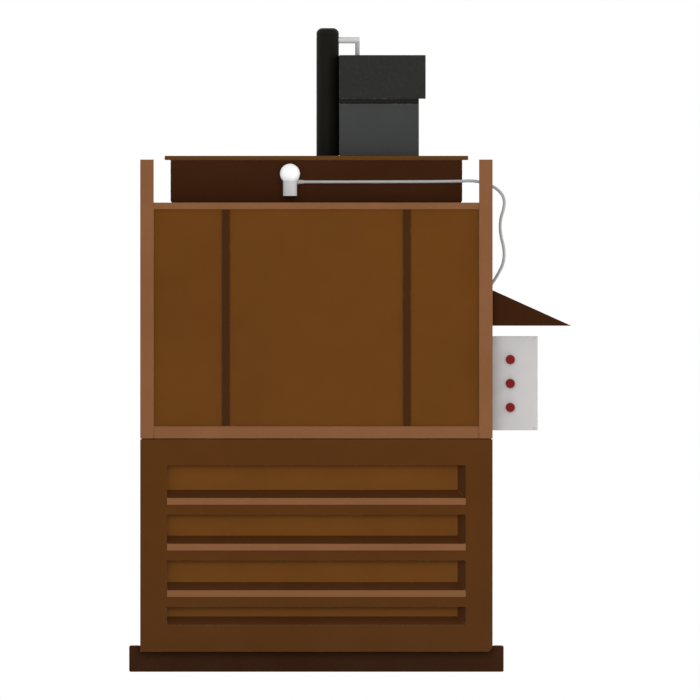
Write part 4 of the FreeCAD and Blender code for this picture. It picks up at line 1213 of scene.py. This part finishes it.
@dataclass
class TelescopicRam:
    """The fixed cylinder, its sliding stage, the rod and the platen."""

    cylinder: Extent = extent("ram_cylinder")
    bridge: Extent = extent("cylinder_bridge")
    flange: float = 0.09
    radius: float = 0.045
    bore: float = 0.037
    cap: float = 0.03
    dome: float = 0.024
    stage_inner: float = 0.028
    stage_outer: float = 0.0367
    bands: Sequence[float] = (0.05, 0.03)
    rod: float = 0.0277
    foot: float = 0.055
    bolts: int = 4
    bolt: float = 0.02
    shank: float = 0.006
    foot_bolt: float = 0.014

    def build(self) -> None:
        """Turn the cylinder and its stages, and round the platen's frame."""
        self.build_cylinder()
        self.build_flange_bolts()
        self.build_stage()
        self.build_rod()
        soft_copies("platen", Coat.DOOR, Round(0.0012, 2, 0.01), "platen_plate")
        soft_copies("platen", Coat.DOOR, Round(0.002, 2, 0.03), "platen_frame")
        soft_copies("platen", Coat.NYLON, Round(0.0015), "guide_shoes_left", "guide_shoes_right")

    def place(self, out: float = 0.0, turn: float = 0.0, height: float = 0.0) -> Matrix:
        """The place at a distance from the ram's axis, at a turn about it and a height."""
        middle = self.cylinder.middle
        return Matrix.Translation((middle.x + out * math.cos(turn), middle.y + out * math.sin(turn),
                                   height))

    def bolt_turns(self) -> Iterator[float]:
        """Where the bolts of a circle stand round the ram's axis."""
        for index in range(self.bolts):
            yield math.tau * (index + 0.5) / self.bolts

    def build_cylinder(self) -> None:
        """Turn the black cylinder with its forged dome and the groove of the seam that closes it."""
        mesh = bmesh.new()
        low, high, seat = self.cylinder.low.z, self.cylinder.high.z, self.bridge.low.z
        bore, radius, seam = self.bore, self.radius, high - self.cap
        shell = [
            (0.0, seam), (bore, seam), (bore, low + 0.004), (bore + 0.003, low),
            (self.flange, low), (self.flange, seat), (radius + 0.0002, seat), (radius, seat + 0.003),
            (radius, seam - 0.004), (radius - 0.0008, seam - 0.0025),
            (radius - 0.0008, seam + 0.0015), (radius, seam + 0.003),
        ]
        shell += arc((radius - self.dome, high - self.dome), self.dome, 0.0, 90.0, 10)
        add_turned(mesh, [*shell, (0.0, high)], self.place(), 72)
        publish("cylinder_tube", mesh, "frame", [Coat.CYLINDER], ["ram_cylinder"], 30)

    def build_flange_bolts(self) -> None:
        """Set the bolts whose heads lie under the flange and whose nuts lie on the bridge."""
        mesh = bmesh.new()
        out = (self.radius + self.flange) / 2
        low, high = self.cylinder.low.z, self.bridge.high.z
        for turn in self.bolt_turns():
            head = self.place(out, turn, low)
            add_bolt(mesh, head @ along(Axis.Z, (0, 0, 0), -1), self.bolt, 0.0068)
            add_bolt(mesh, self.place(out, turn, high), self.bolt, 0.0084)
            add_turned(mesh, disc(self.shank, 0.0, high - low + 0.0105), head, 20, 0.0007)
        publish("flange_bolts", mesh, "frame", [Coat.ZINC], ["cylinder_bolts"])

    def build_stage(self) -> None:
        """Turn the sliding tube with its piston bands, wiper groove and eased ends."""
        mesh = bmesh.new()
        ends = extent("ram_stage")
        low, high = ends.low.z, ends.high.z
        inner, outer = self.stage_inner, self.stage_outer
        wall = [(inner, low), (outer - 0.004, low), (outer - 0.004, low + 0.003),
                (outer - 0.0007, low + 0.003), (outer - 0.0007, high - 0.052)]
        for band in self.bands:
            start, end = high - band, high - band + 0.012
            wall += [(outer - 0.0002, start), (outer - 0.0002, end), (outer - 0.002, end),
                     (outer - 0.002, end + 0.004)]
        wall += [(outer - 0.0002, high - 0.012), (outer - 0.0002, high), (inner, high), (inner, low)]
        add_turned(mesh, wall, self.place(), 64, 0.0006)
        publish("ram_stage_tube", mesh, "ram_tube", [Coat.CHROME], ["ram_stage"], 30)

    def build_rod(self) -> None:
        """Turn the rod with its welded foot and set the foot's bolts."""
        ends = extent("ram_rod")
        low, high = ends.low.z, ends.high.z
        seat = extent("rod_bolts").low.z
        mesh = bmesh.new()
        shape = [(0.0, low), (self.foot, low), (self.foot, seat), (self.rod + 0.006, seat),
                 (self.rod, seat + 0.006), (self.rod, high), (0.0, high)]
        add_turned(mesh, shape, self.place(), 64, 0.0012)
        publish("ram_rod_turned", mesh, "platen", [Coat.CHROME], ["ram_rod"], 30)
        heads = bmesh.new()
        for turn in self.bolt_turns():
            add_bolt(heads, self.place((self.rod + self.foot) / 2, turn, seat), self.foot_bolt, 0.0058)
        publish("foot_bolts", heads, "platen", [Coat.ZINC], ["rod_bolts"])


@dataclass
class PowerUnit:
    """Oil tank, lid, motor cover, motor, pump and the pressure pipe."""

    tank: Extent = extent("oil_tank")
    motor: Extent = extent("motor")
    pump: Extent = extent("pump")
    strip: float = 0.018
    strip_rise: float = 0.172
    glass_x: float = 0.34
    glass_heights: tuple[float, float] = (0.05, 0.16)
    plug_x: float = 0.13
    plug_height: float = 0.03
    shell: float = 0.0595
    fins: int = 36
    foot_inset: float = 0.035
    terminal_x: float = 0.275
    terminal_half: float = 0.03
    terminal_height: float = 0.036
    fan_gap: float = 0.01
    fan_reach: float = 0.052
    blades: int = 8
    shaft: float = 0.009
    pipe: float = 0.009
    pipe_nut: float = 0.014
    elbow: float = 0.0126
    cylinder: float = 0.045

    def build(self) -> None:
        """Fold the tank and the covers, then make what is inside and behind them."""
        soft_copies("frame", Coat.TANK, Round(0.0022, 3, 0.01), "oil_tank")
        soft_copies("frame", Coat.LID, Round(0.0012, 2, 0.01), "tank_lid")
        soft_copies("frame", Coat.COVER, Round(0.0022, 3, 0.02), "motor_cover")
        self.build_packing()
        self.build_tank_fittings()
        self.build_motor()
        self.build_pump()
        self.build_fan()
        self.build_pipe()

    def on_shaft(self, x: float) -> Matrix:
        """The place of what is turned about the motor's shaft, from a distance along it."""
        return along(Axis.X, (x, self.pump.middle.y, self.pump.middle.z))

    def build_packing(self) -> None:
        """The rubber strip that keeps the tank and its cover off the cylinder."""
        mesh = bmesh.new()
        x, y = self.tank.low.x, self.tank.middle.y
        add_box(mesh, (x - 0.0026, y - self.strip / 2, self.tank.low.z + 0.002),
                (x + 0.0004, y + self.strip / 2, self.motor.low.z + self.strip_rise), 0.0006)
        publish("cylinder_packing", mesh, "frame", [Coat.BLACK])

    def build_tank_fittings(self) -> None:
        """The level glass between its two screws and the drain plug, on the tank's back."""
        mesh = bmesh.new()
        x, back = self.glass_x, self.tank.high.y
        low, high = (self.tank.low.z + height for height in self.glass_heights)
        add_box(mesh, (x - 0.015, back - 0.0005, low - 0.012), (x + 0.015, back + 0.012, high + 0.012),
                0.004)
        add_box(mesh, (x - 0.006, back + 0.008, low + 0.012), (x + 0.006, back + 0.0135, high - 0.012),
                0.002, coat=1)
        for z in (low, high):
            add_bolt(mesh, along(Axis.Y, (x, back + 0.012, z)), 0.017, 0.005, 2)
        plug = along(Axis.Y, (self.plug_x, back, self.tank.low.z + self.plug_height))
        add_turned(mesh, disc(0.016, -0.0005, 0.006), plug, 40, 0.001, 2)
        add_bolt(mesh, plug @ Matrix.Translation((0, 0, 0.006)), 0.024, 0.009, 2, False)
        publish("tank_fittings", mesh, "frame", [Coat.BLACK, Coat.NYLON, Coat.ZINC])

    def build_motor(self) -> None:
        """The finned motor with its end bells, feet and terminal box."""
        mesh = bmesh.new()
        place = self.on_shaft(self.motor.low.x)
        end = self.motor.high.x - self.motor.low.x
        bell, barrel = self.shell, self.shell - 0.006
        profile = [(0.0, 0.0), (0.03, 0.0), (0.034, 0.006), (0.056, 0.009), (bell, 0.014),
                   (bell, 0.022), (barrel, 0.026), (barrel, end - 0.026), (bell, end - 0.022),
                   (bell, end - 0.014), (0.056, end - 0.009), (0.02, end - 0.004), (0.0093, end),
                   (0.0093, end - 0.02), (0.0, end - 0.02)]
        add_turned(mesh, profile, place, 60, 0.0012)
        fin = bmesh.new()
        add_box(fin, (0.052, -0.0011, 0.028), (0.0593, 0.0011, end - 0.028), 0.0006, 1)
        add_around(mesh, fin, place, self.fins)
        for x in (self.motor.low.x + self.foot_inset, self.motor.high.x - self.foot_inset):
            self.add_foot(mesh, x)
        x, y, top = self.terminal_x, self.pump.middle.y, self.pump.middle.z + 0.05
        half = self.terminal_half
        add_box(mesh, (x - half, y - half, top), (x + half, y + half, top + self.terminal_height),
                0.003)
        publish("motor_body", mesh, "frame", [Coat.MOTOR, Coat.ZINC], ["motor"])

    def add_foot(self, mesh: Mesh, x: float) -> None:
        """Stand the motor on one foot with its web and its two bolts.

        Args:
            mesh: The shape that they join.
            x: The foot's place along the shaft.
        """
        y, seat, top = self.pump.middle.y, self.motor.low.z, self.motor.low.z + 0.012
        add_box(mesh, (x - 0.015, y - self.shell, seat), (x + 0.015, y + self.shell, top), 0.002)
        add_box(mesh, (x - 0.012, y - 0.04, seat + 0.01), (x + 0.012, y + 0.04, seat + 0.05), 0.003)
        for side in (-0.05, 0.05):
            add_bolt(mesh, Matrix.Translation((x, y + side, top)), 0.013, 0.005, 1)

    def build_pump(self) -> None:
        """The gear pump: two bolted covers on a body, with its port on top."""
        mesh = bmesh.new()
        low, high = self.pump.low, self.pump.high
        for start, end, inset in ((0.0, 0.012, 0.0), (0.0115, 0.0485, 0.0025), (0.048, 0.06, 0.0)):
            add_box(mesh, (low.x + start, low.y + inset, low.z + inset),
                    (low.x + end, high.y - inset, high.z - inset), 0.003)
        for y in (low.y + 0.01, high.y - 0.01):
            for z in (low.z + 0.01, high.z - 0.01):
                add_bolt(mesh, along(Axis.X, (low.x, y, z), -1), 0.011, 0.005, 1)
        publish("gear_pump", mesh, "frame", [Coat.MOTOR, Coat.ZINC], ["pump"])

    def build_fan(self) -> None:
        """The fan with its turned hub and eight straight blades, on the motor's shaft."""
        mesh = bmesh.new()
        rotor = extent("motor_rotor")
        start, end, hub = self.motor.high.x + self.fan_gap, rotor.high.x, 2 * self.shaft
        profile = [(0.0, rotor.low.x), (self.shaft, rotor.low.x), (self.shaft, start), (hub, start),
                   (hub, end - 0.004), (hub - 0.006, end), (0.0, end)]
        add_turned(mesh, profile, self.on_shaft(0.0), 48, 0.0008)
        blade = bmesh.new()
        add_box(blade, (0.012, -0.0015, start), (self.fan_reach, 0.0015, end), 0.0011)
        add_around(mesh, blade, self.on_shaft(0.0), self.blades)
        publish("motor_fan", mesh, "rotor", [Coat.BLACK], ["motor_rotor"])

    def build_pipe(self) -> None:
        """The pipe's riser with its nut, in a darker paint that is painted shade, and the elbow that
        enters the cylinder's side.
        """
        mesh = bmesh.new()
        pipe = extent("pressure_pipe")
        x, y = self.pump.middle.x, self.pump.middle.y
        start, level = pipe.low.z, pipe.high.z - 2 * self.elbow
        riser = [(0.0, start), (self.pipe_nut, start), (self.pipe_nut, start + 0.012),
                 (self.pipe, start + 0.016), (self.pipe, level + 0.004), (0.0, level + 0.004)]
        # The riser takes the darker paint, which is painted shade.
        add_turned(mesh, riser, Matrix.Translation((x, y, 0)), 40, 0.0012, 1)
        entry = extent("ram_cylinder").middle.x + math.sqrt(self.cylinder ** 2 - self.elbow ** 2)
        add_turned(mesh, disc(self.elbow, entry, x + self.pipe),
                   along(Axis.X, (0, y, level + self.elbow)), 48, 0.002, 0, 3)
        publish("pipe_elbow", mesh, "frame", [Coat.PIPE, Coat.PIPE_SHADE], ["pressure_pipe"])


@dataclass
class ControlStation:
    """The rain hood, the control box and its three buttons."""

    cover: Extent = extent("control_cover")
    rows: Sequence[str] = ("top", "middle", "bottom")
    bezel: float = 0.016
    bezel_height: float = 0.008
    cap: float = 0.0184
    cap_height: float = 0.01
    crown: float = 0.0028
    crown_rise: float = 0.0007
    stem: float = 0.006
    screw: float = 0.0052
    screw_inset: float = 0.01
    sunk: float = 0.0004

    def build(self) -> None:
        """Fold the hood and the box and mould the buttons."""
        soft_copies("frame", Coat.BASE, Round(0.0012, 2, 0.01), "control_hood")
        soft_copies("frame", Coat.BOX, Round(0.0015, 2, 0.012), "control_box")
        soft_copies("frame", Coat.BOX, Round(0.0009, 2, 0.01), "control_cover")
        soft_copies("frame", Coat.BLACK, Round(0.0012, 2, 0.008), "contact_blocks")
        self.build_screws()
        self.build_bezels()
        for row in self.rows:
            self.build_button(row)

    def build_screws(self) -> None:
        """The four low screws at the cover's corners."""
        mesh = bmesh.new()
        low, high, inset = self.cover.low, self.cover.high, self.screw_inset
        radius, socket = self.screw, 0.0018
        head = [(0.0, -self.sunk), (radius, -self.sunk), (radius, 0.0014), (2 * socket, 0.0026),
                (socket, 0.0027), (socket, 0.001), (0.0, 0.001)]
        for x in (low.x + inset, high.x - inset):
            for z in (low.z + inset, high.z - inset):
                add_turned(mesh, head, along(Axis.Y, (x, low.y, z), -1), 24, 0.0003)
        publish("cover_fixings", mesh, "frame", [Coat.BOX], ["cover_screws"])

    def build_bezels(self) -> None:
        """The black ring nuts that clamp the buttons to the cover."""
        mesh = bmesh.new()
        hole, outer, height = self.stem + 0.0003, self.bezel, self.bezel_height
        ring = [(hole, -self.sunk), (outer - 0.0004, -self.sunk), (outer - 0.0004, 0.0016),
                (outer - 0.0022, 0.0022), (outer - 0.0022, height - 0.0008),
                (outer - 0.0034, height), (hole + 0.0005, height), (hole, height - 0.0006),
                (hole, -self.sunk)]
        for row in self.rows:
            middle = extent(f"button_{row}").middle
            place = along(Axis.Y, (middle.x, self.cover.low.y, middle.z), -1)
            add_turned(mesh, ring, place, 48, 0.0003)
        publish("button_rings", mesh, "frame", [Coat.BLACK], ["button_bezels"])

    def build_button(self, row: str) -> None:
        """One mushroom button with its crowned face and stem.

        Args:
            row: Its place on the cover.
        """
        mesh = bmesh.new()
        node = extent(f"button_{row}")
        back = node.low.y + self.cap_height
        tail = back - node.high.y
        radius, shoulder = self.cap, self.cap_height - self.crown - self.crown_rise
        face = [(0.0, tail), (self.stem, tail), (self.stem, 0.0), (radius - 0.003, 0.0),
                (radius, 0.003)]
        face += arc((radius - self.crown, shoulder), self.crown, 0.0, 90.0, 5)
        face += [(radius * 0.55, self.cap_height - 0.0002), (0.0, self.cap_height)]
        place = along(Axis.Y, (node.middle.x, back, node.middle.z), -1)
        add_turned(mesh, face, place, 64)
        publish(f"{row}_button_cap", mesh, f"{row}_button", [Coat.BUTTON], [f"button_{row}"], 50)


def main() -> None:
    """Build the stage and every sub-assembly."""
    logging.basicConfig(level=logging.INFO, format="%(name)s: %(message)s")
    for part in (Studio(), SignalLamp(), BaseFrame(), PressChamber(), FeedGate(), BaleDoor(),
                 PressHead(), TelescopicRam(), PowerUnit(), ControlStation()):
        log.info("building %s", type(part).__name__)
        part.build()


if __name__ == "__main__":
    main()
